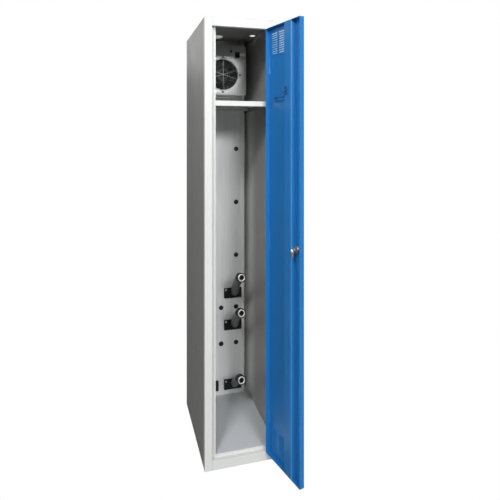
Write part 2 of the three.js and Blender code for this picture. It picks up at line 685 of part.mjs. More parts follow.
// Wire guard: rings on three wires that cross in the middle, and four ears for the screws.
function fanGuard() {
  const ringY = HOUSING_FRONT - GUARD_STAND - 2 * GUARD_WIRE;
  const wireY = ringY + 1.6 * GUARD_WIRE;
  const eyeY = HOUSING_FRONT - GAP - GUARD_WIRE;
  const pieces = [];
  for (let i = 0; i < GUARD_RINGS; i += 1) {
    const ring = new THREE.TorusGeometry(GUARD_R - i * GUARD_STEP, GUARD_WIRE, 4, 24 - 2 * i);
    pieces.push(ring.rotateX(Math.PI / 2).translate(0, ringY, FAN_Z));
  }
  const wire = (from, to) => {
    const path = new THREE.LineCurve3(from, to);
    return taperedTube(path, GUARD_WIRE, GUARD_WIRE, 4, 1).translate(0, 0, FAN_Z);
  };
  const polar = (radius, degrees, y) => {
    const angle = THREE.MathUtils.degToRad(degrees);
    return V3(radius * Math.cos(angle), y, radius * Math.sin(angle));
  };
  for (const lean of [90, GUARD_LEAN, -GUARD_LEAN]) {
    pieces.push(wire(polar(GUARD_R, lean, wireY), polar(-GUARD_R, lean, wireY)));
  }
  for (const side of [0, 90, 180, 270]) {
    const middle = polar(EAR_R, side, eyeY);
    const eye = new THREE.TorusGeometry(EAR_EYE_R, GUARD_WIRE, 4, 10).rotateX(Math.PI / 2);
    pieces.push(eye.translate(middle.x, middle.y, middle.z + FAN_Z));
    for (const turn of [-EAR_SPREAD, EAR_SPREAD]) {
      const share = Math.sign(turn) * (EAR_EYE_R / EAR_R) * THREE.MathUtils.RAD2DEG;
      pieces.push(wire(polar(GUARD_R, side + turn, ringY), polar(EAR_R, side + share, eyeY)));
    }
  }
  const [first, ...others] = pieces;
  return join(first, ...others);
}

const FAN_FRONT = HOUSING_FRONT + HOUSING_T + GAP;
const FAN_REAR = FAN_FRONT + FAN_DEPTH;

function fanFrame() {
  const barrel = turnedY([
    [FAN_BORE_R, FAN_FRONT],
    [FAN_R + 2.5, FAN_FRONT],
    [FAN_R + 2.5, FAN_FRONT + 4],
    [FAN_BORE_R + 3, FAN_FRONT + 7],
    [FAN_BORE_R + 3, FAN_REAR],
    [FAN_BORE_R, FAN_REAR],
    [FAN_BORE_R, FAN_FRONT],
  ], 30).translate(0, 0, FAN_Z);
  const seat = rodY(HUB_R, 0, FAN_Z, FAN_REAR - STRUT_T, FAN_REAR, 20);
  const struts = [0, 1, 2].map((k) => {
    const strut = box(HUB_R - 4, FAN_BORE_R + 2, FAN_REAR - STRUT_T, FAN_REAR, -3, 3);
    return strut.rotateY((k * 2 * Math.PI) / 3 + 0.3).translate(0, 0, FAN_Z);
  });
  return join(barrel, seat, ...struts);
}

const MOTOR_REAR = FAN_REAR - STRUT_T - GAP;
const MOTOR_FRONT = MOTOR_REAR - MOTOR_T;
const HUB_REAR = MOTOR_FRONT - 2 * GAP;
const HUB_FRONT = FAN_FRONT + 7;

function fanMotor() {
  return turnedY([
    [SHAFT_R + GAP, MOTOR_FRONT],
    [HUB_R - 4, MOTOR_FRONT],
    [HUB_R - 4, MOTOR_REAR],
    [SHAFT_R + GAP, MOTOR_REAR],
    [SHAFT_R + GAP, MOTOR_FRONT],
  ], 24).translate(0, 0, FAN_Z);
}

// One blade: sections set round the hub, pitched less towards the tip and slightly cambered.
function fanBlade(turn) {
  const stations = 5;
  const along = 4;
  const mid = (HUB_FRONT + HUB_REAR) / 2;
  const positions = [];
  for (let i = 0; i < stations; i += 1) {
    const share = i / (stations - 1);
    const radius = HUB_R - 2 + (IMPELLER_R - HUB_R + 2) * share;
    const chord = 25 + 12 * share;
    const pitch = THREE.MathUtils.degToRad(48 - 20 * share);
    const sweep = 0.25 * share;
    const section = [];
    for (const face of [-1, 1]) {
      for (let k = 0; k < along; k += 1) {
        const s = (face < 0 ? k : along - 1 - k) / (along - 1) - 0.5;
        const camber = 3.2 * (1 - 4 * s * s) + face * (k === 0 || k === along - 1 ? 0.5 : 0.9);
        const tangential = s * chord * Math.cos(pitch) - camber * Math.sin(pitch);
        const axial = s * chord * Math.sin(pitch) + camber * Math.cos(pitch);
        const angle = turn + sweep + tangential / radius;
        section.push([radius * Math.cos(angle), mid + axial, FAN_Z + radius * Math.sin(angle)]);
      }
    }
    positions.push(...section.flat());
  }
  const ring = 2 * along;
  const indices = [];
  for (let i = 0; i < stations - 1; i += 1) {
    for (let k = 0; k < ring; k += 1) {
      const a = i * ring + k;
      const b = i * ring + ((k + 1) % ring);
      indices.push(a, b + ring, b, a, a + ring, b + ring);
    }
  }
  for (const [start, flip] of [[0, false], [(stations - 1) * ring, true]]) {
    for (let k = 0; k < along - 1; k += 1) {
      const quad = [start + k, start + k + 1, start + ring - 2 - k, start + ring - 1 - k];
      const [a, b, c, d] = flip ? quad.reverse() : quad;
      indices.push(a, b, c, a, c, d);
    }
  }
  const geometry = new THREE.BufferGeometry();
  geometry.setAttribute('position', new THREE.Float32BufferAttribute(positions, 3));
  geometry.setIndex(indices);
  return geometry;
}

function fanImpeller() {
  const hub = turnedY([
    [0, HUB_FRONT],
    [HUB_R - 6, HUB_FRONT],
    [HUB_R, HUB_FRONT + 4],
    [HUB_R, HUB_REAR],
    [SHAFT_R, HUB_REAR],
    [SHAFT_R, MOTOR_REAR - GAP],
    [0, MOTOR_REAR - GAP],
  ], 22).translate(0, 0, FAN_Z);
  const blades = [];
  for (let k = 0; k < BLADES; k += 1) blades.push(fanBlade((2 * Math.PI * k) / BLADES));
  return join(hub, ...blades);
}

const HEATER_FRONT = FAN_REAR + HEATER_SPACE;
const HEATER_REAR = DUCT_FRONT - GAP;

function heaterFrame() {
  const half = HEATER_BORE / 2 + HEATER_WALL;
  const bore = HEATER_BORE / 2;
  const outer = box(-half, half, HEATER_FRONT, HEATER_REAR, FAN_Z - half, FAN_Z + half);
  return cut(outer, box(-bore, bore, HEATER_FRONT - 1, HEATER_REAR + 1, FAN_Z - bore, FAN_Z + bore));
}

function heaterFins() {
  const half = HEATER_BORE / 2 - GAP;
  const tubes = [-0.5, 0.5].map((share) =>
    rodX(4, (HEATER_FRONT + HEATER_REAR) / 2, FAN_Z + share * half, -half, half, 4));
  const fins = [];
  const count = Math.floor((2 * half - 8) / FIN_PITCH);
  for (let k = 0; k <= count; k += 1) {
    const x = (k - count / 2) * FIN_PITCH;
    fins.push(box(x - 0.4, x + 0.4, HEATER_FRONT + 3, HEATER_REAR - 3, FAN_Z - half, FAN_Z + half));
  }
  return join(tubes[0], tubes[1], ...fins);
}

function terminalBlock() {
  const y0 = HOUSING_FRONT + HOUSING_T + GAP;
  const z = HOUSING_TOP - 26;
  const body = box(-94, -58, y0, y0 + 16, z - 8, z + 8);
  const wells = [0, 1, 2].map((k) => rodY(3, -86 + 10 * k, z, y0 + 9, y0 + 20, 8));
  return cut(body, ...wells);
}

// Rocker switch: a bezel on the housing's front with its body behind, and the rocker in it.
function switchFrame() {
  const [w, h] = [SWITCH_W / 2, SWITCH_H / 2];
  const front = HOUSING_FRONT - GAP;
  const bezel = roundedBlock(SWITCH_X - w, SWITCH_X + w, SWITCH_Z - h, SWITCH_Z + h, 2,
    front - SWITCH_BEZEL, front);
  const [bw, bh] = [ROCKER_W / 2, ROCKER_H / 2];
  const body = box(SWITCH_X - bw, SWITCH_X + bw, front - SWITCH_BEZEL / 2, front + 18,
    SWITCH_Z - bh, SWITCH_Z + bh);
  const [cw, ch] = [bw - 1.2, bh - 1.2];
  const cup = box(SWITCH_X - cw, SWITCH_X + cw, front - 5, front + 8, SWITCH_Z - ch, SWITCH_Z + ch);
  return cut(join(bezel, body), cup);
}

function switchRocker() {
  const half = ROCKER_H / 2 - 2.4;
  const shape = new THREE.Shape();
  shape.moveTo(-half, -3.2);
  shape.lineTo(half, -3.2);
  shape.lineTo(half, 3);
  shape.quadraticCurveTo(0, 0.6, -half, 3);
  const width = ROCKER_W - 3;
  const settings = { depth: width, bevelEnabled: false, curveSegments: 6 };
  const rocker = new THREE.ExtrudeGeometry(shape, settings).translate(0, 0, -width / 2);
  rocker.applyMatrix4(new THREE.Matrix4().makeBasis(V3(0, 0, 1), V3(0, -1, 0), V3(1, 0, 0)));
  rocker.rotateX(THREE.MathUtils.degToRad(ROCKER_TILT));
  return rocker.translate(SWITCH_X, HOUSING_FRONT - GAP + 0.5, SWITCH_Z);
}

function indicatorLamp() {
  const seat = HOUSING_FRONT - GAP;
  return turnedY([
    [0, seat - 3.2],
    [LAMP_R * 0.55, seat - 2.8],
    [LAMP_R * 0.8, seat - 1.4],
    [LAMP_R, seat - 1],
    [LAMP_R, seat],
    [LAMP_R - 1 - GAP, seat],
    [LAMP_R - 1 - GAP, seat + 12],
    [0, seat + 12],
  ], 12).translate(LAMP_X, 0, LAMP_Z);
}

function housingPlate() {
  return roundedBlock(PLATE_X - PLATE_W / 2, PLATE_X + PLATE_W / 2, PLATE_Z - PLATE_H / 2,
    PLATE_Z + PLATE_H / 2, 1.5, HOUSING_FRONT - GAP - 1.2, HOUSING_FRONT - GAP);
}

// ---------------------------------------------------------------- door, drawn closed
const SKIN_IN = FRONT + SHEET; // inner face of the door skin
const DOOR_IN = FRONT + DOOR_T; // plane of the pan's rim
const fromHinge = (u) => LEAF_EDGE - u;

function ventSlot(u, z) {
  return box(fromHinge(u + VENT_SLOT), fromHinge(u), FRONT - 1, SKIN_IN + 1,
    z - VENT_SLOT_H / 2, z + VENT_SLOT_H / 2);
}

function doorPanel() {
  const leaf = box(LEAF_FREE, LEAF_EDGE, FRONT, DOOR_IN, LEAF_BOTTOM, LEAF_TOP);
  const hollow = box(LEAF_FREE + SHEET, LEAF_EDGE - SHEET, SKIN_IN, DOOR_IN + 1,
    LEAF_BOTTOM + SHEET, LEAF_TOP - SHEET);
  const tools = [hollow];
  for (const top of [VENT_TOP_Z, VENT_LOW_Z]) {
    for (let row = 0; row < VENT_ROWS; row += 1) {
      for (const u of [VENT_START, VENT_START + VENT_SLOT + VENT_BRIDGE]) {
        tools.push(ventSlot(u, top - row * VENT_PITCH));
      }
    }
  }
  const lockX = fromHinge(LOCK_FROM_HINGE);
  tools.push(rodY(LOCK_R + GAP, lockX, LOCK_Z, FRONT - 1, SKIN_IN + 1, 20));
  return withHingeLeaves(cut(leaf, ...tools), -1, GAP / 2, HINGE_LENGTH / 2);
}

function doorStiffener() {
  const seat = SKIN_IN + GAP;
  const crest = DOOR_IN - GAP;
  const right = fromHinge(STIFF_LEFT - STIFF_WIDTH);
  const left = fromHinge(STIFF_LEFT);
  return foldedZ([
    [left - STIFF_FOOT, seat + SHEET],
    [left, seat + SHEET],
    [left + STIFF_SLOPE, crest],
    [right - STIFF_SLOPE, crest],
    [right, seat + SHEET],
    [right + STIFF_FOOT, seat + SHEET],
  ].reverse(), LEAF_BOTTOM + SHEET + GAP, LEAF_TOP - SHEET - GAP);
}

// A round wire through the given points, its corners eased.
function bentWire(points, radius, steps) {
  const curve = new THREE.CatmullRomCurve3(points, false, 'centripetal');
  return taperedTube(curve, radius, radius, 6, steps);
}

function towelRail() {
  const x1 = fromHinge(RAIL_FROM);
  const x0 = fromHinge(RAIL_TO);
  const seat = SKIN_IN + GAP;
  const out = SKIN_IN + RAIL_STAND;
  return bentWire([
    V3(x0, seat, RAIL_Z), V3(x0, out - 3, RAIL_Z), V3(x0 + 3, out, RAIL_Z),
    V3(x1 - 3, out, RAIL_Z), V3(x1, out - 3, RAIL_Z), V3(x1, seat, RAIL_Z),
  ], RAIL_R, 18);
}

function doorHook() {
  const seat = DOOR_IN;
  const x = fromHinge(HOOK_FROM);
  const plate = roundedBlock(x - 9, x + 9, HOOK_Z - 16, HOOK_Z + 16, 4, seat, seat + 1.6);
  const wire = bentWire([
    V3(x, seat + 0.5, HOOK_Z + 2), V3(x, seat + 6, HOOK_Z + 2), V3(x, seat + 16, HOOK_Z - 6),
    V3(x, seat + 20, HOOK_Z), V3(x, seat + 20, HOOK_Z + 8),
  ], 2.4, 10);
  return join(plate, wire);
}

function hingePin(z) {
  const low = z - HINGE_LENGTH / 2;
  const top = z + HINGE_LENGTH / 2 + GAP;
  return join(
    rodZ(HINGE_PIN_R, PIN_X, FRONT, low, top + 1, 10),
    rodZ(HINGE_R - 0.8, PIN_X, FRONT, top, top + PIN_HEAD, 10),
  );
}

// ---------------------------------------------------------------- lock
const LOCK_X = fromHinge(LOCK_FROM_HINGE);
const LOCK_END = FRONT + LOCK_LENGTH;

function lockBody() {
  const barrel = turnedY([
    [PLUG_R + GAP, FRONT - GAP - LOCK_ROSETTE_T],
    [LOCK_ROSETTE_R - 1.5, FRONT - GAP - LOCK_ROSETTE_T],
    [LOCK_ROSETTE_R, FRONT - GAP - LOCK_ROSETTE_T + 1],
    [LOCK_ROSETTE_R, FRONT - GAP],
    [LOCK_R, FRONT - GAP],
    [LOCK_R, LOCK_END],
    [PLUG_R + GAP, LOCK_END],
    [PLUG_R + GAP, FRONT - GAP - LOCK_ROSETTE_T],
  ], 20);
  return barrel.translate(LOCK_X, 0, LOCK_Z);
}

function lockNut() {
  const seat = SKIN_IN + GAP;
  const nut = rodY(LOCK_NUT_R, LOCK_X, LOCK_Z, seat, seat + LOCK_NUT_T, 6);
  return cut(nut, rodY(LOCK_R + GAP, LOCK_X, LOCK_Z, seat - 1, seat + LOCK_NUT_T + 1, 24));
}

// The plug carries the cam behind the barrel; a slot in its front takes the key.
function lockPlug() {
  const front = FRONT - GAP - LOCK_ROSETTE_T - 1;
  const plug = rodY(PLUG_R, LOCK_X, LOCK_Z, front, LOCK_END + GAP, 24);
  return cut(plug, box(LOCK_X - 0.9, LOCK_X + 0.9, front - 1, front + 8, LOCK_Z - 4.5, LOCK_Z + 4.5));
}

function lockCam() {
  const y0 = LOCK_END + 2 * GAP;
  const shape = new THREE.Shape();
  const half = CAM_WIDTH / 2;
  shape.absarc(0, 0, half, 0, Math.PI, false);
  shape.lineTo(-half + 2, -CAM_LENGTH + 1);
  shape.lineTo(-half + 3, -CAM_LENGTH);
  shape.lineTo(half - 3, -CAM_LENGTH);
  shape.lineTo(half - 2, -CAM_LENGTH + 1);
  const settings = { depth: CAM_T, bevelEnabled: false, curveSegments: 10 };
  const cam = new THREE.ExtrudeGeometry(shape, settings);
  return cam.rotateX(Math.PI / 2).translate(LOCK_X, y0 + CAM_T, LOCK_Z);
}

function camScrew() {
  const seat = LOCK_END + 3 * GAP + CAM_T;
  return rodY(4, LOCK_X, LOCK_Z, seat, seat + 2.4, 6);
}

// ---------------------------------------------------------------- assembly
const cabinet = new THREE.Group();
const door = new THREE.Group();
const onDoor = new THREE.Group();

function add(parent, name, geometry, material) {
  const mesh = new THREE.Mesh(geometry, material);
  mesh.name = name;
  parent.add(mesh);
}

add(cabinet, 'left_side', leftSide(), lightGrey);
add(cabinet, 'right_side', rightSide(), lightGrey);
add(cabinet, 'roof_panel', roof(), lightGrey);
add(cabinet, 'back_panel', backPanel(), lightGrey);
add(cabinet, 'base_plate', basePlate(), lightGrey);
add(cabinet, 'floor_panel', floorPanel(), lightGrey);
add(cabinet, 'sill_rail', sillRail(), lightGrey);
add(cabinet, 'head_rail', headRail(), lightGrey);
add(cabinet, 'hat_shelf', shelf(), lightGrey);
add(cabinet, 'inlet_grommet', inletGrommet(), black);
add(cabinet, 'duct_cover', ductCover(), ductGrey);
NOZZLES.forEach((place, i) => {
  add(cabinet, `nozzle_base_${i + 1}`, nozzleBase(place), black);
  add(cabinet, `nozzle_tube_${i + 1}`, nozzleTube(place), darkGrey);
  add(cabinet, `nozzle_ring_${i + 1}`, nozzleRing(place), chrome);
});
blindSpots().forEach((spot, i) => add(cabinet, `blind_plug_${i + 1}`, blindPlug(spot), black));
HINGE_ZS.forEach((z, i) => add(cabinet, `hinge_pin_${i + 1}`, hingePin(z), nickel));
add(cabinet, 'fan_housing', fanHousing(), housingGrey);
add(cabinet, 'housing_plate', housingPlate(), white);
add(cabinet, 'switch_frame', switchFrame(), black);
add(cabinet, 'switch_rocker', switchRocker(), black);
add(cabinet, 'indicator_lamp', indicatorLamp(), black);
add(cabinet, 'fan_guard', fanGuard(), chrome);
add(cabinet, 'fan_frame', fanFrame(), black);
add(cabinet, 'fan_motor', fanMotor(), aluminium);
add(cabinet, 'fan_impeller', fanImpeller(), darkGrey);
add(cabinet, 'heater_frame', heaterFrame(), aluminium);
add(cabinet, 'heater_fins', heaterFins(), aluminium);
add(cabinet, 'terminal_block', terminalBlock(), white);

add(onDoor, 'door_panel', doorPanel(), blue);
add(onDoor, 'door_stiffener', doorStiffener(), blue);
add(onDoor, 'towel_rail', towelRail(), blue);
add(onDoor, 'door_hook', doorHook(), blue);
add(onDoor, 'lock_body', lockBody(), nickel);
add(onDoor, 'lock_nut', lockNut(), nickel);
add(onDoor, 'lock_plug', lockPlug(), nickel);
add(onDoor, 'lock_cam', lockCam(), nickel);
add(onDoor, 'cam_screw', camScrew(), nickel);

onDoor.position.set(-PIN_X, -FRONT, 0);
door.position.set(PIN_X, FRONT, 0);
door.rotation.z = THREE.MathUtils.degToRad(DOOR_OPEN);
door.add(onDoor);
cabinet.add(door);

export default cabinet;
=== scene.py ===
import json
import math

import bpy
from mathutils import Matrix, Vector


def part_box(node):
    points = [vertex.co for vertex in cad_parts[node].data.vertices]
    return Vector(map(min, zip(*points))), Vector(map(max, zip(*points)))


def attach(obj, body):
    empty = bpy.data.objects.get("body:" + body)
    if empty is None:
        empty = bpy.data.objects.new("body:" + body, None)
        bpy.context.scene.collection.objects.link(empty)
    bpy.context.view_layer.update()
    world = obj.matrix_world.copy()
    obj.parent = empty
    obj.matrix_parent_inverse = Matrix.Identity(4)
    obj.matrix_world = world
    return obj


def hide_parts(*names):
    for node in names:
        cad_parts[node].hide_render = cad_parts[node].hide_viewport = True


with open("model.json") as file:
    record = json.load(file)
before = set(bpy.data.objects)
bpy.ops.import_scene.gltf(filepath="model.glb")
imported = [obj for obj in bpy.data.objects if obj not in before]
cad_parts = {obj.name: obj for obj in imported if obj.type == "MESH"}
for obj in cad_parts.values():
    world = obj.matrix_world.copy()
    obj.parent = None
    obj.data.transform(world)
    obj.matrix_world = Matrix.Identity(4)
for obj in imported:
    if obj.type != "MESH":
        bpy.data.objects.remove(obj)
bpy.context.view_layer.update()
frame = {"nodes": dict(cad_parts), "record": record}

NODES = frame["nodes"]
SCENE = bpy.context.scene
SCENE.view_settings.view_transform = "Standard"


# ---------------------------------------------------------------- mesh tools
NO_RADIUS = 1e-7  # a turned profile closes where its radius is less


def shade_smooth(mesh, angle):
    """Smooth shading with sharp edges where faces meet at more than so many degrees."""
    mesh.polygons.foreach_set("use_smooth", [True] * len(mesh.polygons))
    mesh.set_sharp_from_angle(angle=math.radians(angle))


def piece(name, verts, faces, material, body, slot, replaces=(), angle=40):
    """A new mesh piece in the row frame, riding on a body."""
    mesh = bpy.data.meshes.new(name)
    mesh.from_pydata([tuple(v) for v in verts], [], faces)
    mesh.validate()
    shade_smooth(mesh, angle)
    mesh.materials.append(material)
    made = bpy.data.objects.new(name, mesh)
    SCENE.collection.objects.link(made)
    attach(made, body)
    if replaces:
        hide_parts(*replaces)


def grid_faces(rows, columns):
    """Faces between rings of vertices, each ring closed on itself."""
    faces = []
    for row in range(rows - 1):
        for k in range(columns):
            a = row * columns + k
            b = row * columns + (k + 1) % columns
            faces.append((a, b, b + columns, a + columns))
    return faces


def joined_ends(rows, columns):
    """Faces between the last ring of vertices and the first."""
    last = (rows - 1) * columns
    faces = []
    for k in range(columns):
        n = (k + 1) % columns
        faces.append((last + k, last + n, n, k))
    return faces


def prism(rows, columns):
    """Faces between rings of vertices and over both ends; the first end keeps the rings' order."""
    last = (rows - 1) * columns
    faces = grid_faces(rows, columns)
    faces.append(tuple(range(columns)))
    faces.append(tuple(reversed(range(last, last + columns))))
    return faces


def turned(profile, sides, place=Matrix.Identity(4)):
    """Vertices and faces of a piece turned about its own Y, from (radius, y) points.

    The profile runs with y rising on the outside; a radius of 0 closes an end."""
    verts, faces, rings = [], [], []
    for radius, y in profile:
        if radius < NO_RADIUS:
            rings.append([len(verts)])
            verts.append(place @ Vector((0, y, 0)))
            continue
        rings.append(list(range(len(verts), len(verts) + sides)))
        for k in range(sides):
            angle = 2 * math.pi * k / sides
            verts.append(place @ Vector((radius * math.sin(angle), y, radius * math.cos(angle))))
    for low, high in zip(rings, rings[1:]):
        for k in range(sides):
            n = (k + 1) % sides
            if len(low) == 1 and len(high) > 1:
                faces.append((low[0], high[n], high[k]))
            elif len(high) == 1 and len(low) > 1:
                faces.append((low[k], low[n], high[0]))
            elif len(low) > 1:
                faces.append((low[k], low[n], high[n], high[k]))
    return verts, faces


def swept(points, radii, sides):
    """A closed round tube through the points, with a radius at each."""
    tangents = []
    for i in range(len(points)):
        before = points[max(0, i - 1)]
        after = points[min(len(points) - 1, i + 1)]
        tangents.append((after - before).normalized())
    side = tangents[0].orthogonal().normalized()
    verts, faces = [], []
    for point, tangent, radius in zip(points, tangents, radii):
        side = (side - tangent * side.dot(tangent)).normalized()
        other = tangent.cross(side)
        for k in range(sides):
            angle = 2 * math.pi * k / sides
            verts.append(point + radius * (side * math.cos(angle) + other * math.sin(angle)))
    faces = grid_faces(len(points), sides)
    last = (len(points) - 1) * sides
    faces.append(tuple(reversed(range(sides))))
    faces.append(tuple(range(last, last + sides)))
    return verts, faces


def merged(*parts):
    """Several (verts, faces) as one."""
    verts, faces = [], []
    for more_verts, more_faces in parts:
        start = len(verts)
        verts.extend(more_verts)
        faces.extend(tuple(start + i for i in face) for face in more_faces)
    return verts, faces


def smooth_path(points, steps):
    """A Catmull-Rom path through the points."""
    ends = [points[0] * 2 - points[1], *points, points[-1] * 2 - points[-2]]
    path = []
    for i in range(1, len(ends) - 2):
        a, b, c, d = ends[i - 1 : i + 3]
        for k in range(steps):
            t = k / steps
            path.append(0.5 * (2 * b + (c - a) * t + (2 * a - 5 * b + 4 * c - d) * t**2
                               + (3 * b - a - 3 * c + d) * t**3))
    path.append(points[-1])
    return path


# ---------------------------------------------------------------- materials
# Painted shade: the grey is darkened to stand in for the shade inside the cabinet and on the side
# panels' outer faces.
# The painted shade, in metres of the row frame: how far it reaches past the shelf's end, which takes
# in the side panels' outer faces, ahead of the shelf's front, and short of the roof's rear edge and
# top.
PAINTED_SHADE_SIDE = 0.0015
PAINTED_SHADE_FRONT = 0.001
PAINTED_SHADE_BACK = 0.0018
PAINTED_SHADE_TOP = 0.0005
PAINTED_SHADE_FADE = (0.02, 0.17)  # where the painted shade thins under the shelf, towards the back, painting the rear lighter
# share of the painted shade left at the back under the shelf
PAINTED_SHADE_REAR_SHARE = 0.12
OUTER_FACE = 0.1495  # inside the side panels' sheet: beyond this distance the painted shade doesn't thin
TONE_STOPS = (0.3, 0.7)  # the noise values that give the darker and the lighter tone
PEEL_DEPTH = 0.00006
MOULD_DEPTH = 0.00008


class Nodes:
    """Adds nodes to a node tree one at a time."""

    def __init__(self, tree):
        self.tree = tree

    def node(self, kind, **settings):
        made = self.tree.nodes.new(kind)
        for key, value in settings.items():
            setattr(made, key, value)
        return made

    def link(self, source, target):
        self.tree.links.new(source, target)

    def span(self, source, ends, low, high, shape="LINEAR"):
        """Maps the stretch between two values to low..high."""
        span = self.node("ShaderNodeMapRange", interpolation_type=shape)
        span.inputs["From Min"].default_value = ends[0]
        span.inputs["From Max"].default_value = ends[1]
        span.inputs["To Min"].default_value = low
        span.inputs["To Max"].default_value = high
        self.link(source, span.inputs["Value"])
        return span.outputs["Result"]

    def split_by_eye(self, lit, shown):
        """The first shader for light's rays and the second for what the camera sees directly."""
        rays = self.node("ShaderNodeLightPath")
        mix = self.node("ShaderNodeMixShader")
        self.link(rays.outputs["Is Camera Ray"], mix.inputs["Fac"])
        self.link(lit, mix.inputs[1])
        self.link(shown, mix.inputs[2])
        return mix.outputs[0]


class Shader(Nodes):
    """A Principled material and what is made of its nodes."""

    def __init__(self, name):
        self.material = bpy.data.materials.new(name)
        self.material.use_nodes = True
        super().__init__(self.material.node_tree)
        self.bsdf = self.tree.nodes["Principled BSDF"]
        self.position = self.node("ShaderNodeTexCoord").outputs["Object"]

    def value(self, socket, number):
        self.bsdf.inputs[socket].default_value = number

    def noise(self, scale, detail=3.0, stretch=(1, 1, 1)):
        """Noise of so many spots a metre; stretch makes it longer or shorter along an axis."""
        mapping = self.node("ShaderNodeMapping")
        mapping.inputs["Scale"].default_value = stretch
        self.link(self.position, mapping.inputs["Vector"])
        texture = self.node("ShaderNodeTexNoise")
        texture.inputs["Scale"].default_value = scale
        texture.inputs["Detail"].default_value = detail
        self.link(mapping.outputs["Vector"], texture.inputs["Vector"])
        return texture.outputs["Fac"]

    def two_tone(self, source, colour, variety):
        """The colour, a little darker where the value is low and a little lighter where it is high."""
        ramp = self.node("ShaderNodeValToRGB")
        for element, stop, share in zip(ramp.color_ramp.elements, TONE_STOPS, (-variety, variety)):
            element.position = stop
            element.color = (*(c * (1 + share) for c in colour), 1.0)
        self.link(source, ramp.inputs["Fac"])
        return ramp.outputs["Color"]

    def calculate(self, operation, first, second=0.0):
        """A sum, product, test or the like of a value and either a number or another value."""
        made = self.node("ShaderNodeMath", operation=operation)
        self.link(first, made.inputs[0])
        if isinstance(second, (int, float)):
            made.inputs[1].default_value = second
        else:
            self.link(second, made.inputs[1])
        return made.outputs[0]

    def roughness(self, source, low, high):
        self.link(self.span(source, TONE_STOPS, low, high), self.bsdf.inputs["Roughness"])

    def painted_shade_share(self):
        """Share of the painted shade: 1 on the sides and between them, less at the back of the room,
        which it paints lighter.
        """
        axes = self.node("ShaderNodeSeparateXYZ")
        self.link(self.position, axes.inputs[0])
        shelf_low, shelf_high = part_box("hat_shelf")
        roof_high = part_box("roof_panel")[1]
        side = shelf_high[0] + PAINTED_SHADE_SIDE
        tests = []
        for axis, low, high in (("X", -side, side),
                                ("Y", shelf_low[1] - PAINTED_SHADE_FRONT, roof_high[1] - PAINTED_SHADE_BACK),
                                ("Z", 0.0, roof_high[2] - PAINTED_SHADE_TOP)):
            tests.append(self.calculate("GREATER_THAN", axes.outputs[axis], low))
            tests.append(self.calculate("LESS_THAN", axes.outputs[axis], high))
        mask = tests[0]
        for test in tests[1:]:
            mask = self.calculate("MULTIPLY", mask, test)
        fade = self.span(axes.outputs["Y"], PAINTED_SHADE_FADE, 1.0, PAINTED_SHADE_REAR_SHARE, "SMOOTHSTEP")
        across = self.calculate("ABSOLUTE", axes.outputs["X"])
        for source, limit in ((axes.outputs["Z"], shelf_low[2]), (across, OUTER_FACE)):
            test = self.calculate("GREATER_THAN", source, limit)
            fade = self.calculate("MAXIMUM", fade, test)
        return self.calculate("MULTIPLY", mask, fade)

    def darkened(self, tone, share, keep):
        """The tone, times keep where share is 1; a colour mix has its inputs at 6 and 7."""
        mix = self.node("ShaderNodeMix", data_type="RGBA", blend_type="MULTIPLY")
        self.link(share, mix.inputs[0])
        self.link(tone, mix.inputs[6])
        mix.inputs[7].default_value = (keep, keep, keep, 1)
        return mix.outputs[2]

    def bump(self, source, depth):
        bump = self.node("ShaderNodeBump")
        bump.inputs["Distance"].default_value = depth
        bump.inputs["Strength"].default_value = 1.0
        self.link(source, bump.inputs["Height"])
        self.link(bump.outputs["Normal"], self.bsdf.inputs["Normal"])


def powder_coat(name, colour, rough=0.42, variety=0.03, specular=0.5, inside=None):
    """Baked powder paint: fine orange peel, slight unevenness of tone and gloss.

    inside is the share of the tone that the panels keep where painted shade darkens them."""
    shader = Shader(name)
    tone = shader.two_tone(shader.noise(3.0, 4.0), colour, variety)
    # painted shade: the panels' grey darker inside the cabinet and on their outer sides
    if inside is not None:
        tone = shader.darkened(tone, shader.painted_shade_share(), inside)
    shader.link(tone, shader.bsdf.inputs["Base Color"])
    shader.roughness(shader.noise(14.0), rough - 0.04, rough + 0.05)
    shader.bump(shader.noise(420.0, 2.0), PEEL_DEPTH)
    shader.value("Specular IOR Level", specular)
    return shader.material


def steel(name, colour, rough, metallic, grain=(1, 1, 0.02), depth=0.00004):
    """Bare, plated or painted metal with a rolling grain; grain stretches its noise."""
    shader = Shader(name)
    tone = shader.two_tone(shader.noise(160.0, 4.0, grain), colour, 0.08)
    shader.link(tone, shader.bsdf.inputs["Base Color"])
    shader.roughness(shader.noise(25.0), rough - 0.06, rough + 0.08)
    shader.bump(shader.noise(600.0, 2.0, grain), depth)
    shader.value("Metallic", metallic)
    return shader.material


def plastic(name, colour, rough):
    """Moulded plastic with a fine texture."""
    shader = Shader(name)
    tone = shader.two_tone(shader.noise(40.0), colour, 0.15)
    shader.link(tone, shader.bsdf.inputs["Base Color"])
    shader.roughness(shader.noise(60.0), rough - 0.06, rough + 0.06)
    shader.bump(shader.noise(900.0, 2.0), MOULD_DEPTH)
    return shader.material


GREY = (0.68, 0.685, 0.66)
GREY_PAINT = powder_coat("grey_paint", GREY)
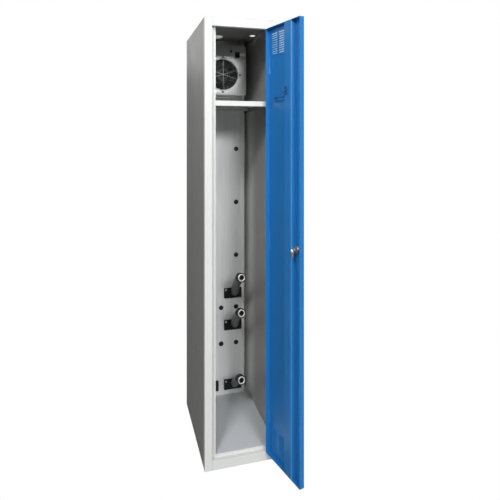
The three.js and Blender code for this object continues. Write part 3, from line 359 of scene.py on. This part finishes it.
# The grey with painted shade inside the cabinet and on the side panels' outer faces.
GREY_PAINTED_SHADE = powder_coat("grey_paint_painted_shade", GREY, inside=0.42)
FLOOR_GREY = powder_coat("grey_paint_floor", (0.58, 0.605, 0.625))
BLUE_PAINT = powder_coat("blue_paint", (0.014, 0.172, 0.48), rough=0.36, variety=0.04)
DUCT_STEEL = steel("duct_steel", (0.90, 0.91, 0.91), 0.42, 0.15)
HOUSING_STEEL = steel("housing_steel", (0.60, 0.61, 0.61), 0.34, 0.6)
BLACK_PLASTIC = plastic("black_plastic", (0.006, 0.006, 0.0065), 0.42)
DARK_PLASTIC = plastic("dark_plastic", (0.06, 0.062, 0.062), 0.42)
BLACK_RUBBER = plastic("black_rubber", (0.012, 0.012, 0.012), 0.7)
CHROME_WIRE = steel("chrome_wire", (0.82, 0.82, 0.82), 0.18, 1.0, depth=0.0)
NICKEL = steel("nickel", (0.66, 0.57, 0.51), 0.26, 0.9, grain=(1, 1, 1), depth=0.00001)
ALUMINIUM = steel("aluminium", (0.6, 0.61, 0.62), 0.4, 0.9)
WHITE_PLASTIC = plastic("white_plastic", (0.78, 0.78, 0.76), 0.45)
RING_WHITE = steel("ring_bright", (0.92, 0.92, 0.92), 0.2, 0.35, depth=0.0)
ELBOW_GREY = plastic("elbow_grey", (0.12, 0.122, 0.122), 0.4)
# A lighter blue standing in for the lit lips: a painted highlight on the upper louvres.
LOUVRE_HIGHLIGHT_BLUE = powder_coat("louvre_painted_highlight", (0.16, 0.44, 0.72), rough=0.4)
# A lighter blue standing in for the stiffener fold's highlight: a painted highlight.
EDGE_HIGHLIGHT_BLUE = powder_coat("edge_painted_highlight", (0.10, 0.34, 0.66), rough=0.3)
HOOK_BLUE = powder_coat("hook_paint", (0.012, 0.095, 0.26), rough=0.5, specular=0.3)
WIRE_STEEL = steel("wire_steel", (0.50, 0.50, 0.51), 0.34, 0.8, depth=0.0)
# Near white, standing in for the inlet ring's bright crescent: a painted highlight.
RIM_HIGHLIGHT = steel("rim_painted_highlight", (0.97, 0.97, 0.97), 0.2, 0.1, depth=0.0)
WIRE_DULL = steel("wire_dull", (0.24, 0.24, 0.245), 0.38, 0.8, depth=0.0)
FAN_BLACK = plastic("fan_black", (0.006, 0.006, 0.0065), 0.55)
BLACK_STEEL = steel("black_steel", (0.02, 0.02, 0.021), 0.35, 0.6, depth=0.0)
HEATER_STEEL = steel("heater_steel", (0.06, 0.06, 0.065), 0.5, 0.7)
PLATE_STEEL = steel("plate_steel", (0.99, 0.99, 0.99), 0.22, 0.0, depth=0.0)

BY_SLOT = {
    "grey_paint": GREY_PAINT,
    "blue_paint": BLUE_PAINT,
    "duct_steel": DUCT_STEEL,
    "housing_steel": HOUSING_STEEL,
    "black_plastic": BLACK_PLASTIC,
    "dark_plastic": DARK_PLASTIC,
    "black_rubber": BLACK_RUBBER,
    "chrome_wire": CHROME_WIRE,
    "nickel": NICKEL,
    "aluminium": ALUMINIUM,
    "white_plastic": WHITE_PLASTIC,
    "heater_steel": HEATER_STEEL,
}

# Nodes whose finish is a shade of their slot's; the side, back and roof panels carry painted shade.
BY_NODE = {
    "fan_impeller": FAN_BLACK,
    "fan_frame": FAN_BLACK,
    "fan_motor": BLACK_STEEL,
    "door_hook": HOOK_BLUE,
    "towel_rail": HOOK_BLUE,
    "right_side": GREY_PAINTED_SHADE,
    "left_side": GREY_PAINTED_SHADE,
    "back_panel": GREY_PAINTED_SHADE,
    "roof_panel": GREY_PAINTED_SHADE,
    "floor_panel": FLOOR_GREY,
}


def dress_cad():
    """Each CAD node takes the material of its slot and is shaded round where its facets are fine."""
    for row in frame["record"]["subparts"]:
        node = NODES[row["node"]]
        node.data.materials.clear()
        node.data.materials.append(BY_NODE.get(row["node"]) or BY_SLOT[row["material_slot"]])
        shade_smooth(node.data, 32)


dress_cad()


# ---------------------------------------------------------------- places taken from the frame
MM = 0.001
GAP = 0.3 * MM  # assembly clearance, as in the CAD
DUCT_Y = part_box("duct_cover")[0][1]  # front of the warm-air duct
HOUSING_LOW, HOUSING_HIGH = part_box("fan_housing")
GUARD_LOW, GUARD_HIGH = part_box("fan_guard")
FAN_X = (GUARD_LOW[0] + GUARD_HIGH[0]) / 2
FAN_Z = (GUARD_LOW[2] + GUARD_HIGH[2]) / 2


def middle(node):
    """Centre of a node's box."""
    low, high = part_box(node)
    return Vector([(a + b) / 2 for a, b in zip(low, high)])


def facing(direction, place):
    """Own +Y turned to a direction and moved to a place."""
    turn = Vector((0, 1, 0)).rotation_difference(Vector(direction))
    return Matrix.Translation(place) @ turn.to_matrix().to_4x4()


# ---------------------------------------------------------------- screws
SCREW_RISE = 0.62  # height of a head as a share of its radius
# Shares of the radius and of the height, from the rim to the middle of the recess.
SCREW_HEAD = ((1.0, 0.0), (1.0, 0.35), (0.86, 0.8), (0.55, 1.0), (0.42, 1.0), (0.12, 0.45), (0.0, 0.4))


def screw(name, place, direction, radius, material, slot, body):
    """A pan head with a round recess; it stands on a face and looks along direction."""
    rise = radius * SCREW_RISE
    profile = [(radius * out, rise * up) for out, up in SCREW_HEAD]
    head = turned(profile, 20, facing(direction, place))
    piece(name, *head, material, body, slot, angle=50)


# ---------------------------------------------------------------- outlet nozzles
NOZZLE_COUNT = 4
BASE_OFFSET = 62 * MM  # tube axis from the base's long end
BASE_FACE = 4 * MM  # the base plate's front behind its raised boss
TUBE_R = 19.5 * MM
TUBE_END_R = 18.5 * MM
TUBE_FORWARD = 222 * MM
TUBE_RISES = (137 * MM, 134 * MM, 126 * MM, 130 * MM)
TUBE_LEAN = 30 * MM
TUBE_STEPS = 40
TUBE_HIDDEN = 5  # steps at the tube's end that its collar leaves out
ROOT_SHIFT = Vector((-8, 3.5, 6)) * MM  # the tube's root from its base's boss
# The curve's inner points, as shares of the lean, the way forward and the rise.
LEAVING = (0.3, 0.16, 0.12)
ARRIVING = (0.9, 0.3, 0.86)
COLLAR_R = 21 * MM
COLLAR_LENGTH = 28 * MM
COLLAR_EASE = 0.9 * MM
MOUTH_EASE = 0.8 * MM
GROOVE_DEPTH = 0.6 * MM
GROOVE = (-6 * MM, -5.5 * MM, -4.7 * MM, -4.2 * MM)  # its edges, from the mouth's face
RING_R = 16.4 * MM
RING_BORE_R = 11.8 * MM
RING_T = 5 * MM
RING_PROUD = 1.2 * MM
GRID_DEPTH = 26 * MM
GRID_BAR = 1.8 * MM
GRID_SUNK = 0.5 * MM  # the bars' foot behind the grid's ground
GRID_RISE = 3 * MM
BOSS_R = 3.6 * MM
SCREW_INSET = 9 * MM
SCREW_R = 3.4 * MM
BRIGHT_SCREW_R = 4.4 * MM


def nozzle_axis(number):
    """Where a nozzle's tube leaves its base; the last nozzle's long end points right."""
    low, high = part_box(f"nozzle_base_{number}")
    x = high[0] - BASE_OFFSET if number == NOZZLE_COUNT else low[0] + BASE_OFFSET
    return Vector((x, low[1] - GAP, (low[2] + high[2]) / 2))


def elbow_points(number, steps):
    """Points of an elbow's middle line, a cubic curve, and the direction of its mouth."""
    axis = nozzle_axis(number)
    rise = TUBE_RISES[number - 1]
    end = Vector((axis.x - TUBE_LEAN, DUCT_Y - TUBE_FORWARD, axis.z + rise))
    start = axis + ROOT_SHIFT
    first = start + Vector((-TUBE_LEAN * LEAVING[0], -TUBE_FORWARD * LEAVING[1], rise * LEAVING[2]))
    second = Vector((start.x - TUBE_LEAN * ARRIVING[0], end.y + TUBE_FORWARD * ARRIVING[1],
                     start.z + rise * ARRIVING[2]))
    points = []
    for i in range(steps + 1):
        t = i / steps
        points.append((1 - t) ** 3 * start + 3 * (1 - t) ** 2 * t * first
                      + 3 * (1 - t) * t**2 * second + t**3 * end)
    return points, (end - second).normalized()


def bar(place, width, reach, y0, y1):
    """A straight bar across a bore, its upper edges eased."""
    ease = width * 0.25
    section = [(-width / 2, y0), (width / 2, y0), (width / 2, y1 - ease),
               (width / 2 - ease, y1), (-width / 2 + ease, y1), (-width / 2, y1 - ease)]
    verts = [place @ Vector((x, y, z)) for z in (-reach, reach) for x, y in section]
    count = len(section)
    faces = [tuple(range(count)), tuple(reversed(range(count, 2 * count)))]
    for k in range(count):
        n = (k + 1) % count
        faces.append((k, k + count, n + count, n))
    return verts, faces


def elbow_tube(number):
    """The moulded elbow, which ends inside its collar."""
    points, _ = elbow_points(number, TUBE_STEPS)
    lengths = [0.0]
    for a, b in zip(points, points[1:]):
        lengths.append(lengths[-1] + (b - a).length)
    radii = [TUBE_R + (TUBE_END_R - TUBE_R) * length / lengths[-1] for length in lengths]
    kept = TUBE_STEPS - TUBE_HIDDEN + 1
    piece(f"elbow_{number}", *swept(points[:kept], radii[:kept], 40), ELBOW_GREY, "carcass",
          "dark_plastic", replaces=(f"nozzle_tube_{number}",))


def elbow_mouth(number):
    """The collar and, set back in its bore, the grid with its boss.

    Each profile point is a radius and a distance from the mouth's face, inward below 0."""
    points, aim = elbow_points(number, TUBE_STEPS)
    mouth = facing(aim, points[-1])
    seat_r = RING_R + 2 * GAP
    collar = turned([
        (TUBE_END_R - MM, -COLLAR_LENGTH),
        (COLLAR_R - COLLAR_EASE, -COLLAR_LENGTH),
        (COLLAR_R, -COLLAR_LENGTH + COLLAR_EASE),
        (COLLAR_R, GROOVE[0]),
        (COLLAR_R - GROOVE_DEPTH, GROOVE[1]),
        (COLLAR_R - GROOVE_DEPTH, GROOVE[2]),
        (COLLAR_R, GROOVE[3]),
        (COLLAR_R, -MOUTH_EASE),
        (COLLAR_R - MOUTH_EASE, 0.0),
        (seat_r, 0.0),
        (seat_r, -RING_T),
        (RING_BORE_R, -RING_T),
        (RING_BORE_R, -GRID_DEPTH),
        (0.0, -GRID_DEPTH),
    ], 48, mouth)
    boss = turned([
        (BOSS_R, -GRID_DEPTH - MM),
        (BOSS_R, -GRID_DEPTH + 2.6 * MM),
        (BOSS_R * 0.7, -GRID_DEPTH + 3.5 * MM),
        (0.0, -GRID_DEPTH + 3.8 * MM),
    ], 20, mouth)
    bars = []
    for degrees in (45, 135):
        turn = mouth @ Matrix.Rotation(math.radians(degrees), 4, "Y")
        bars.append(bar(turn, GRID_BAR, RING_BORE_R + GAP, -GRID_DEPTH - GRID_SUNK,
                        -GRID_DEPTH + GRID_RISE))
    piece(f"elbow_mouth_{number}", *merged(collar, boss, *bars), FAN_BLACK, "carcass",
          "black_plastic")


def nozzle_ring(number):
    """The bright ring in a nozzle's mouth, its front edges rounded in small steps."""
    points, aim = elbow_points(number, 8)
    ring = turned([
        (RING_BORE_R, -RING_T + GAP),
        (RING_R, -RING_T + GAP),
        (RING_R, RING_PROUD - 1.6 * MM),
        (RING_R - 0.5 * MM, RING_PROUD - 0.6 * MM),
        (RING_R - 1.5 * MM, RING_PROUD),
        (RING_BORE_R + 1.6 * MM, RING_PROUD),
        (RING_BORE_R + 0.5 * MM, RING_PROUD - 0.5 * MM),
        (RING_BORE_R, RING_PROUD - 1.6 * MM),
        (RING_BORE_R, -RING_T + GAP),
    ], 48, facing(aim, points[-1]))
    piece(f"ring_{number}", *ring, RING_WHITE, "carcass", "chrome_wire",
          replaces=(f"nozzle_ring_{number}",), angle=60)


def base_screws(number):
    """One screw in each corner of a nozzle's base; the upper left one is bright."""
    low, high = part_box(f"nozzle_base_{number}")
    lefts = (low[0] + SCREW_INSET, high[0] - SCREW_INSET)
    heights = (low[2] + SCREW_INSET, high[2] - SCREW_INSET)
    corners = [(x, low[1] + BASE_FACE, z) for x in lefts for z in heights]
    looks = [(SCREW_R, BLACK_STEEL, "black_plastic")] * len(corners)
    looks[1] = (BRIGHT_SCREW_R, RING_WHITE, "nickel")
    for k, (corner, (radius, material, slot)) in enumerate(zip(corners, looks), start=1):
        screw(f"base_screw_{number}_{k}", corner, (0, -1, 0), radius, material, slot, "carcass")


for nozzle in range(1, NOZZLE_COUNT + 1):
    elbow_tube(nozzle)
    elbow_mouth(nozzle)
    nozzle_ring(nozzle)
    base_screws(nozzle)


# ---------------------------------------------------------------- blind plugs
PLUG_COUNT = 12
PLUG_R = 11.5 * MM
PLUG_DOME = 3.4 * MM
PLUG_RIM = 0.5 * MM  # upright part of the rim
PLUG_EASE = 0.4 * MM
DOME_FOOT = 1.1 * MM
DOME_IN = 1.4 * MM  # from the rim to the dome's foot


def blind_plug(number):
    """A domed plug with a thin rolled rim."""
    centre = middle(f"blind_plug_{number}")
    dome = [(PLUG_R, 0.0), (PLUG_R, PLUG_RIM), (PLUG_R - PLUG_EASE, PLUG_RIM + PLUG_EASE),
            (PLUG_R - DOME_IN, DOME_FOOT)]
    for degrees in range(15, 90, 15):
        angle = math.radians(degrees)
        dome.append(((PLUG_R - DOME_IN) * math.cos(angle),
                     DOME_FOOT + (PLUG_DOME - DOME_FOOT) * math.sin(angle)))
    dome.append((0.0, PLUG_DOME))
    place = facing((0, -1, 0), (centre.x, DUCT_Y - GAP, centre.z))
    piece(f"plug_{number}", *turned(dome, 40, place), BLACK_PLASTIC, "carcass", "black_plastic",
          replaces=(f"blind_plug_{number}",), angle=50)


for plug in range(1, PLUG_COUNT + 1):
    blind_plug(plug)


# ---------------------------------------------------------------- fan housing
HOUSING_SHEET = 1.2 * MM
HOUSING_CORNER = 12 * MM
HOUSING_FOLD = 3 * MM
HOUSING_BODY = 98.7 * MM  # from its rear to its front
CORNER_STEPS = 6
EDGE_STEPS = 18
FOLD_STEPS = 4
FAN_BORE_R = 71 * MM
RIM_WIDTH = 8 * MM
RIM_HEIGHT = 3.4 * MM
RIM_STEPS = 8
RIM_FOOT = 0.2 * MM  # how deep its outer edge is set into the housing's front
RIM_SEAT = 3 * MM  # how far it reaches into the housing
HOUSING_FRONT = HOUSING_HIGH[1] - HOUSING_BODY


def housing_outline(inset, y):
    """Round-cornered outline of the housing seen from the front, inset by so much."""
    x0, x1 = HOUSING_LOW[0] + inset, HOUSING_HIGH[0] - inset
    z0, z1 = HOUSING_LOW[2] + inset, HOUSING_HIGH[2] - inset
    radius = HOUSING_CORNER - inset
    corners = [(x1 - radius, z0 + radius, -90), (x1 - radius, z1 - radius, 0),
               (x0 + radius, z1 - radius, 90), (x0 + radius, z0 + radius, 180)]
    points = []
    for i, (x, z, start) in enumerate(corners):
        for k in range(CORNER_STEPS + 1):
            angle = math.radians(start + 90 * k / CORNER_STEPS)
            points.append(Vector((x + radius * math.cos(angle), y, z + radius * math.sin(angle))))
        next_x, next_z, next_start = corners[(i + 1) % 4]
        angle = math.radians(next_start)
        target = Vector((next_x + radius * math.cos(angle), y, next_z + radius * math.sin(angle)))
        here = points[-1].copy()
        points.extend(here.lerp(target, k / EDGE_STEPS) for k in range(1, EDGE_STEPS))
    return points


def bore_ring(radius, y, outline):
    """Points of the fan opening in the directions of the outline's points."""
    ring = []
    for point in outline:
        angle = math.atan2(point.z - FAN_Z, point.x - FAN_X)
        ring.append(Vector((FAN_X + radius * math.cos(angle), y, FAN_Z + radius * math.sin(angle))))
    return ring


def housing_shell():
    """The folded housing in one skin: sides, rounded front fold, front, fan opening, inside."""
    rear = HOUSING_HIGH[1]
    inside = HOUSING_FRONT + HOUSING_SHEET
    rings = [housing_outline(0.0, rear)]
    for k in range(FOLD_STEPS + 1):
        angle = k * math.pi / 2 / FOLD_STEPS
        rings.append(housing_outline(HOUSING_FOLD * (1 - math.cos(angle)),
                                     HOUSING_FRONT + HOUSING_FOLD * (1 - math.sin(angle))))
    outline = rings[-1]
    bore = FAN_BORE_R + RIM_WIDTH / 2
    rings += [
        bore_ring(bore, HOUSING_FRONT, outline),
        bore_ring(bore, inside, outline),
        housing_outline(HOUSING_FOLD, inside),
        housing_outline(HOUSING_SHEET, HOUSING_FRONT + HOUSING_FOLD),
        housing_outline(HOUSING_SHEET, rear),
    ]
    verts = [point for ring in rings for point in ring]
    faces = grid_faces(len(rings), len(outline)) + joined_ends(len(rings), len(outline))
    piece("housing_shell", verts, faces, HOUSING_STEEL, "carcass", "housing_steel",
          replaces=("fan_housing",), angle=35)


def fan_rim():
    """The polished inlet ring pressed round the fan opening, made near white as a painted highlight.
    """
    profile = [(FAN_BORE_R, RIM_SEAT)]
    for k in range(RIM_STEPS + 1):
        angle = k * math.pi / RIM_STEPS
        profile.append((FAN_BORE_R + RIM_WIDTH * (1 - math.cos(angle)) / 2,
                        -RIM_HEIGHT * math.sin(angle)))
    profile += [(FAN_BORE_R + RIM_WIDTH, RIM_FOOT), (FAN_BORE_R + RIM_WIDTH / 2, RIM_SEAT),
                (FAN_BORE_R, RIM_SEAT)]
    place = Matrix.Translation((FAN_X, HOUSING_FRONT, FAN_Z))
    piece("fan_rim", *turned(profile, 120, place), RIM_HIGHLIGHT, "carcass", "housing_steel", angle=50)


housing_shell()
fan_rim()


PLATE_STAND = 6 * MM  # how far the plate's upper edge stands out
PLATE_EDGE = 0.8 * MM
PLATE_END = 0.9  # the section at either end as a share of the full one


def housing_tab():
    """The bare tab on the housing, tilted so that its face looks down."""
    low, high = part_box("housing_plate")
    back = high[1]
    section = ((back, low[2]), (back, high[2]), (back - PLATE_STAND + PLATE_EDGE, high[2]),
               (back - PLATE_STAND, high[2] - PLATE_EDGE),
               (back - PLATE_EDGE, low[2] + PLATE_EDGE / 2))
    middle_y, middle_z = back - PLATE_STAND / 3, (low[2] + high[2]) / 2
    stations = ((low[0], PLATE_END), (low[0] + PLATE_EDGE, 1.0),
                (high[0] - PLATE_EDGE, 1.0), (high[0], PLATE_END))
    verts = []
    for x, share in stations:
        for y, z in section:
            verts.append(Vector((x, middle_y + (y - middle_y) * share,
                                 middle_z + (z - middle_z) * share)))
    piece("plate_tab", verts, prism(len(stations), len(section)), PLATE_STEEL, "carcass",
          "white_plastic", replaces=("housing_plate",), angle=30)


housing_tab()


# ---------------------------------------------------------------- fan guard
GUARD_R = 71.5 * MM
GUARD_RINGS = 7
GUARD_STEP = 8.2 * MM
GUARD_WIRE = 0.7 * MM
GUARD_SPOKE = 1.05 * MM
SPOKE_AHEAD = 0.9  # of a ring wire's radius, from the rings to the crossing wires
GUARD_STAND = 6 * MM
GUARD_LEANS = (90, 17, -17)  # the crossing wires, in degrees
EAR_R = 83 * MM
EAR_EYE_R = 4.5 * MM
EAR_SPREAD = 12
EAR_DIP = 0.8 * MM
EAR_DIP_AT = 0.75  # share of the way from the outer ring to the eye
GUARD_SCREW_R = 4.2 * MM
GUARD_SCREW_SEAT = 2.6 * MM  # its head's foot ahead of the housing


def polar(radius, degrees, y):
    """A point round the fan's axis."""
    angle = math.radians(degrees)
    return Vector((FAN_X + radius * math.cos(angle), y, FAN_Z + radius * math.sin(angle)))


def wire_ring(centre, radius, steps):
    """A closed round wire in a plane that faces the front."""
    sides = 10
    verts = []
    for i in range(steps):
        around = 2 * math.pi * i / steps
        out = Vector((math.cos(around), 0, math.sin(around)))
        for k in range(sides):
            angle = 2 * math.pi * k / sides
            verts.append(centre + out * (radius + GUARD_WIRE * math.cos(angle))
                         + Vector((0, GUARD_WIRE * math.sin(angle), 0)))
    return verts, grid_faces(steps, sides) + joined_ends(steps, sides)


def guard_ear(side, ring_y, eye_y):
    """An eye of the guard and the two wires that lead to it from the outer ring."""
    parts = [wire_ring(polar(EAR_R, side, eye_y), EAR_EYE_R, 28)]
    for turn in (-EAR_SPREAD, EAR_SPREAD):
        lean = math.copysign(math.degrees(EAR_EYE_R / EAR_R), turn)
        start = polar(GUARD_R, side + turn, ring_y)
        end = polar(EAR_R, side + lean, eye_y)
        dip = start.lerp(end, EAR_DIP_AT) + Vector((0, EAR_DIP, 0))
        path = smooth_path([start, dip, end], 5)
        parts.append(swept(path, [GUARD_WIRE] * len(path), 10))
    return parts


def guard_wires():
    """The wire guard: dull rings, and brighter crossing wires and ears held by screws."""
    ring_y = HOUSING_FRONT - GUARD_STAND - 2 * GUARD_WIRE
    wire_y = ring_y - SPOKE_AHEAD * GUARD_WIRE
    eye_y = HOUSING_FRONT - GAP - GUARD_WIRE
    centre = Vector((FAN_X, ring_y, FAN_Z))
    rings = [wire_ring(centre, GUARD_R - i * GUARD_STEP, 96) for i in range(GUARD_RINGS)]
    parts = []
    for lean in GUARD_LEANS:
        ends = [polar(side * GUARD_R, lean, wire_y) for side in (-1, 1)]
        parts.append(swept(ends, [GUARD_SPOKE] * 2, 12))
    for side in (0, 90, 180, 270):
        parts.extend(guard_ear(side, ring_y, eye_y))
        screw(f"guard_screw_{side}", polar(EAR_R, side, HOUSING_FRONT - GUARD_SCREW_SEAT),
              (0, -1, 0), GUARD_SCREW_R, BLACK_STEEL, "black_plastic", "carcass")
    piece("guard_spokes", *merged(*parts), WIRE_STEEL, "carcass", "chrome_wire",
          replaces=("fan_guard",), angle=60)
    piece("guard_rings", *merged(*rings), WIRE_DULL, "carcass", "chrome_wire", angle=60)


guard_wires()


# ---------------------------------------------------------------- door
DOOR_JOINT = frame["record"]["behaviour"]["joints"][0]
DOOR_OPEN = -math.radians(DOOR_JOINT["range_deg"][0])  # the range's lower end is the shut door
PIN = Vector(DOOR_JOINT["pos_m"])
PIN.z = 0.0
DOOR_TURN = (Matrix.Translation(PIN) @ Matrix.Rotation(DOOR_OPEN, 4, "Z")
             @ Matrix.Translation(-PIN))
HINGE_COUNT = 3
CUP_R = 5.6 * MM
CUP_WALL = 0.8 * MM
CUP_PAST = 1.5 * MM  # beyond either end of the pin
CUP_ARC = (97, 173)  # degrees round the pin, door closed
CUP_STEPS = 12


def hinge_cup(number):
    """The pocket pressed into the door's edge round a hinge barrel."""
    low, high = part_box(f"hinge_pin_{number}")
    z0, z1 = low[2] - CUP_PAST, high[2] + CUP_PAST
    outer = CUP_R + CUP_WALL
    section = ((z0, 0.0), (z0, outer), (z1, outer), (z1, 0.0), (z1 - CUP_WALL, 0.0),
               (z1 - CUP_WALL, CUP_R), (z0 + CUP_WALL, CUP_R), (z0 + CUP_WALL, 0.0))
    verts = []
    for z, radius in section:
        for k in range(CUP_STEPS + 1):
            angle = math.radians(CUP_ARC[0] + (CUP_ARC[1] - CUP_ARC[0]) * k / CUP_STEPS)
            spot = PIN + Vector((radius * math.cos(angle), radius * math.sin(angle), z))
            verts.append(DOOR_TURN @ spot)
    faces = []
    for row in range(1, len(section) - 1):
        for k in range(CUP_STEPS):
            a = row * (CUP_STEPS + 1) + k
            faces.append((a, a + 1, a + CUP_STEPS + 2, a + CUP_STEPS + 1))
    piece(f"hinge_cup_{number}", verts, faces, BLUE_PAINT, "door", "blue_paint")


for hinge in range(1, HINGE_COUNT + 1):
    hinge_cup(hinge)


# The door's inner side, closed: u is the distance from the hinge edge.
HINGE_EDGE = 118.5 * MM
SKIN_Y = -249 * MM
VENT_COLUMNS = (20 * MM, 72 * MM)  # u where the slots of a column begin
VENT_LENGTH = 38 * MM
VENT_PITCH = 9 * MM
VENT_ROWS = 10
TOP_VENT = 1739 * MM  # middle of a field's highest slot
LOW_VENT = 143 * MM
LOUVRE_ENDS = 1.2 * MM
# Depth inward and height of a louvre's section, in mm from the middle of its slot.
LOUVRE_SECTION = ((-0.2, 2.4), (1.5, 2.1), (2.9, 0.9), (3.5, -1.3), (2.8, -1.5), (2.2, 0.2),
                  (1.2, 1.2), (-0.2, 1.6))
# Share of the length, and share of the depth there.
LOUVRE_STATIONS = ((0.0, 0.05), (0.04, 0.55), (0.1, 1.0), (0.9, 1.0), (0.96, 0.55), (1.0, 0.05))


def louvre(u, z):
    """The lip pressed inward over one slot of the door."""
    verts = []
    for share, depth in LOUVRE_STATIONS:
        x = HINGE_EDGE - u + LOUVRE_ENDS - share * (VENT_LENGTH + 2 * LOUVRE_ENDS)
        for inward, height in LOUVRE_SECTION:
            spot = Vector((x, SKIN_Y + inward * depth * MM, z + height * MM))
            verts.append(DOOR_TURN @ spot)
    return verts, prism(len(LOUVRE_STATIONS), len(LOUVRE_SECTION))


def door_louvres(name, top, paint):
    """The lips of one field of slots."""
    parts = [louvre(u, top - row * VENT_PITCH) for row in range(VENT_ROWS) for u in VENT_COLUMNS]
    piece(name, *merged(*parts), paint, "door", "blue_paint", angle=50)


# The upper field in the lighter blue of its painted highlight, the lower one in the door's own blue.
door_louvres("door_louvres_top", TOP_VENT, LOUVRE_HIGHLIGHT_BLUE)
door_louvres("door_louvres_low", LOW_VENT, BLUE_PAINT)


STIFF_U = 181 * MM
STIFF_RISE = 17.5 * MM
STIFF_FOLD = Vector((HINGE_EDGE - STIFF_U, SKIN_Y + STIFF_RISE, 0.0))
BEAD_R = 1.1 * MM


def stiffener_highlight_bead():
    """The rounded fold of the stiffener on its free side, in a lighter blue that is a painted
    highlight.
    """
    low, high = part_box("door_stiffener")
    ends = [DOOR_TURN @ (STIFF_FOLD + Vector((0, 0, z))) for z in (low[2] + MM, high[2] - MM)]
    piece("stiffener_highlight_bead", *swept(ends, [BEAD_R] * 2, 12), EDGE_HIGHLIGHT_BLUE, "door", "blue_paint",
          angle=50)


stiffener_highlight_bead()


CAP_R = 6.5 * MM
CAP_RISE = 5.0 * MM
CAP_SEAT = 0.15  # its foot ahead of the screw's middle, as a share of the screw's width in X
# Shares of the radius and of the height.
CAP_DOME = ((1.0, 0.0), (1.0, 0.24), (0.92, 0.52), (0.7, 0.78), (0.36, 0.94), (0.0, 1.0))


def cam_cap():
    """The domed head that holds the cam on the lock."""
    inward = (DOOR_TURN.to_3x3() @ Vector((0, 1, 0))).normalized()
    low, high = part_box("cam_screw")
    foot = middle("cam_screw") + inward * (high[0] - low[0]) * CAP_SEAT
    profile = [(CAP_R * out, CAP_RISE * up) for out, up in CAP_DOME]
    piece("cam_cap", *turned(profile, 32, facing(inward, foot)), RING_WHITE, "lock_rotor", "nickel",
          angle=50)


cam_cap()


# ---------------------------------------------------------------- camera
CAMERA_AT = (-0.4833, -2.0755, 1.3145)
CAMERA_YAW = math.radians(-15.86)  # from +Y towards +X
CAMERA_LENS = 33.72
CAMERA_SHIFT = -0.2219


def add_camera():
    """A level camera whose lens is shifted, as the photograph's upright edges ask."""
    data = bpy.data.cameras.new("camera")
    data.sensor_width = 36.0
    data.lens = CAMERA_LENS
    data.shift_y = CAMERA_SHIFT
    camera = bpy.data.objects.new("camera", data)
    camera.location = CAMERA_AT
    camera.rotation_euler = (math.pi / 2, 0.0, CAMERA_YAW)
    SCENE.collection.objects.link(camera)
    SCENE.camera = camera


# ---------------------------------------------------------------- floor and light
FLOOR_HALF = 12.0
FLOOR_SHADE = 0.5
WORLD_HEIGHTS = (-0.1, 0.5)  # the heights of directions between which the world brightens
WORLD_LOW = 0.09
WORLD_HIGH = 0.19
BODY_MIDDLE = (0.0, 0.0, 1.2)
# Name, place, what it points at, size and power.
LIGHTS = (
    ("key", (0.4, -4.9, 2.85), BODY_MIDDLE, (0.8, 0.7), 66),
    ("right_key", (1.3, -4.9, 2.85), BODY_MIDDLE, (0.9, 0.7), 42),
    ("front_fill", (-0.5, -5.0, 2.85), BODY_MIDDLE, (0.9, 0.7), 28),
    ("left_key", (-2.6, -4.4, 5.0), BODY_MIDDLE, (1.2, 1.0), 215),
    ("high_fill", (0.3, -3.6, 4.4), (0.0, 0.0, 1.0), (1.0, 1.0), 36),
    ("top_left", (-1.0, -0.2, 2.1), (-0.15, 0.0, 1.72), (0.4, 0.4), 3.6),
    ("rear_fill", (-0.8, 3.2, 2.4), BODY_MIDDLE, (1.1, 0.6), 3),
    ("right_fill", (3.2, 0.4, 1.8), (0.0, 0.0, 0.9), (1.2, 2.0), 35),
)


def add_light(name, place, target, size, power):
    """A rectangular light that the camera doesn't see."""
    data = bpy.data.lights.new(name, "AREA")
    data.shape = "RECTANGLE"
    data.size, data.size_y = size
    data.energy = power
    lamp = bpy.data.objects.new(name, data)
    lamp.location = place
    lamp.rotation_euler = (Vector(target) - Vector(place)).to_track_quat("-Z", "Y").to_euler()
    lamp.visible_camera = False
    SCENE.collection.objects.link(lamp)


def add_floor():
    """A grey floor that sends light up; the camera sees it as plain white."""
    mesh = bpy.data.meshes.new("studio_floor")
    corners = [(x * FLOOR_HALF, y * FLOOR_HALF, 0) for x, y in ((-1, -1), (1, -1), (1, 1), (-1, 1))]
    mesh.from_pydata(corners, [], [(0, 1, 2, 3)])
    floor = bpy.data.objects.new("studio_floor", mesh)
    SCENE.collection.objects.link(floor)
    shader = Shader("studio_floor")
    shader.value("Base Color", (FLOOR_SHADE, FLOOR_SHADE, FLOOR_SHADE, 1))
    shader.value("Roughness", 0.9)
    white = shader.node("ShaderNodeEmission")
    surface = shader.split_by_eye(shader.bsdf.outputs[0], white.outputs[0])
    shader.link(surface, shader.tree.nodes["Material Output"].inputs["Surface"])
    mesh.materials.append(shader.material)
    floor.visible_glossy = False


def add_world():
    """Dim all round and brighter above; the camera sees plain white."""
    world = bpy.data.worlds.new("studio")
    SCENE.world = world
    world.use_nodes = True
    world.node_tree.nodes.clear()
    sky = Nodes(world.node_tree)
    axes = sky.node("ShaderNodeSeparateXYZ")
    sky.link(sky.node("ShaderNodeTexCoord").outputs["Generated"], axes.inputs[0])
    dim = sky.node("ShaderNodeBackground")
    strength = sky.span(axes.outputs["Z"], WORLD_HEIGHTS, WORLD_LOW, WORLD_HIGH)
    sky.link(strength, dim.inputs["Strength"])
    white = sky.node("ShaderNodeBackground")
    white.inputs["Color"].default_value = (1, 1, 1, 1)
    white.inputs["Strength"].default_value = 1.0
    output = sky.node("ShaderNodeOutputWorld")
    surface = sky.split_by_eye(dim.outputs[0], white.outputs[0])
    sky.link(surface, output.inputs["Surface"])


add_camera()
add_floor()
add_world()
for light in LIGHTS:
    add_light(*light)
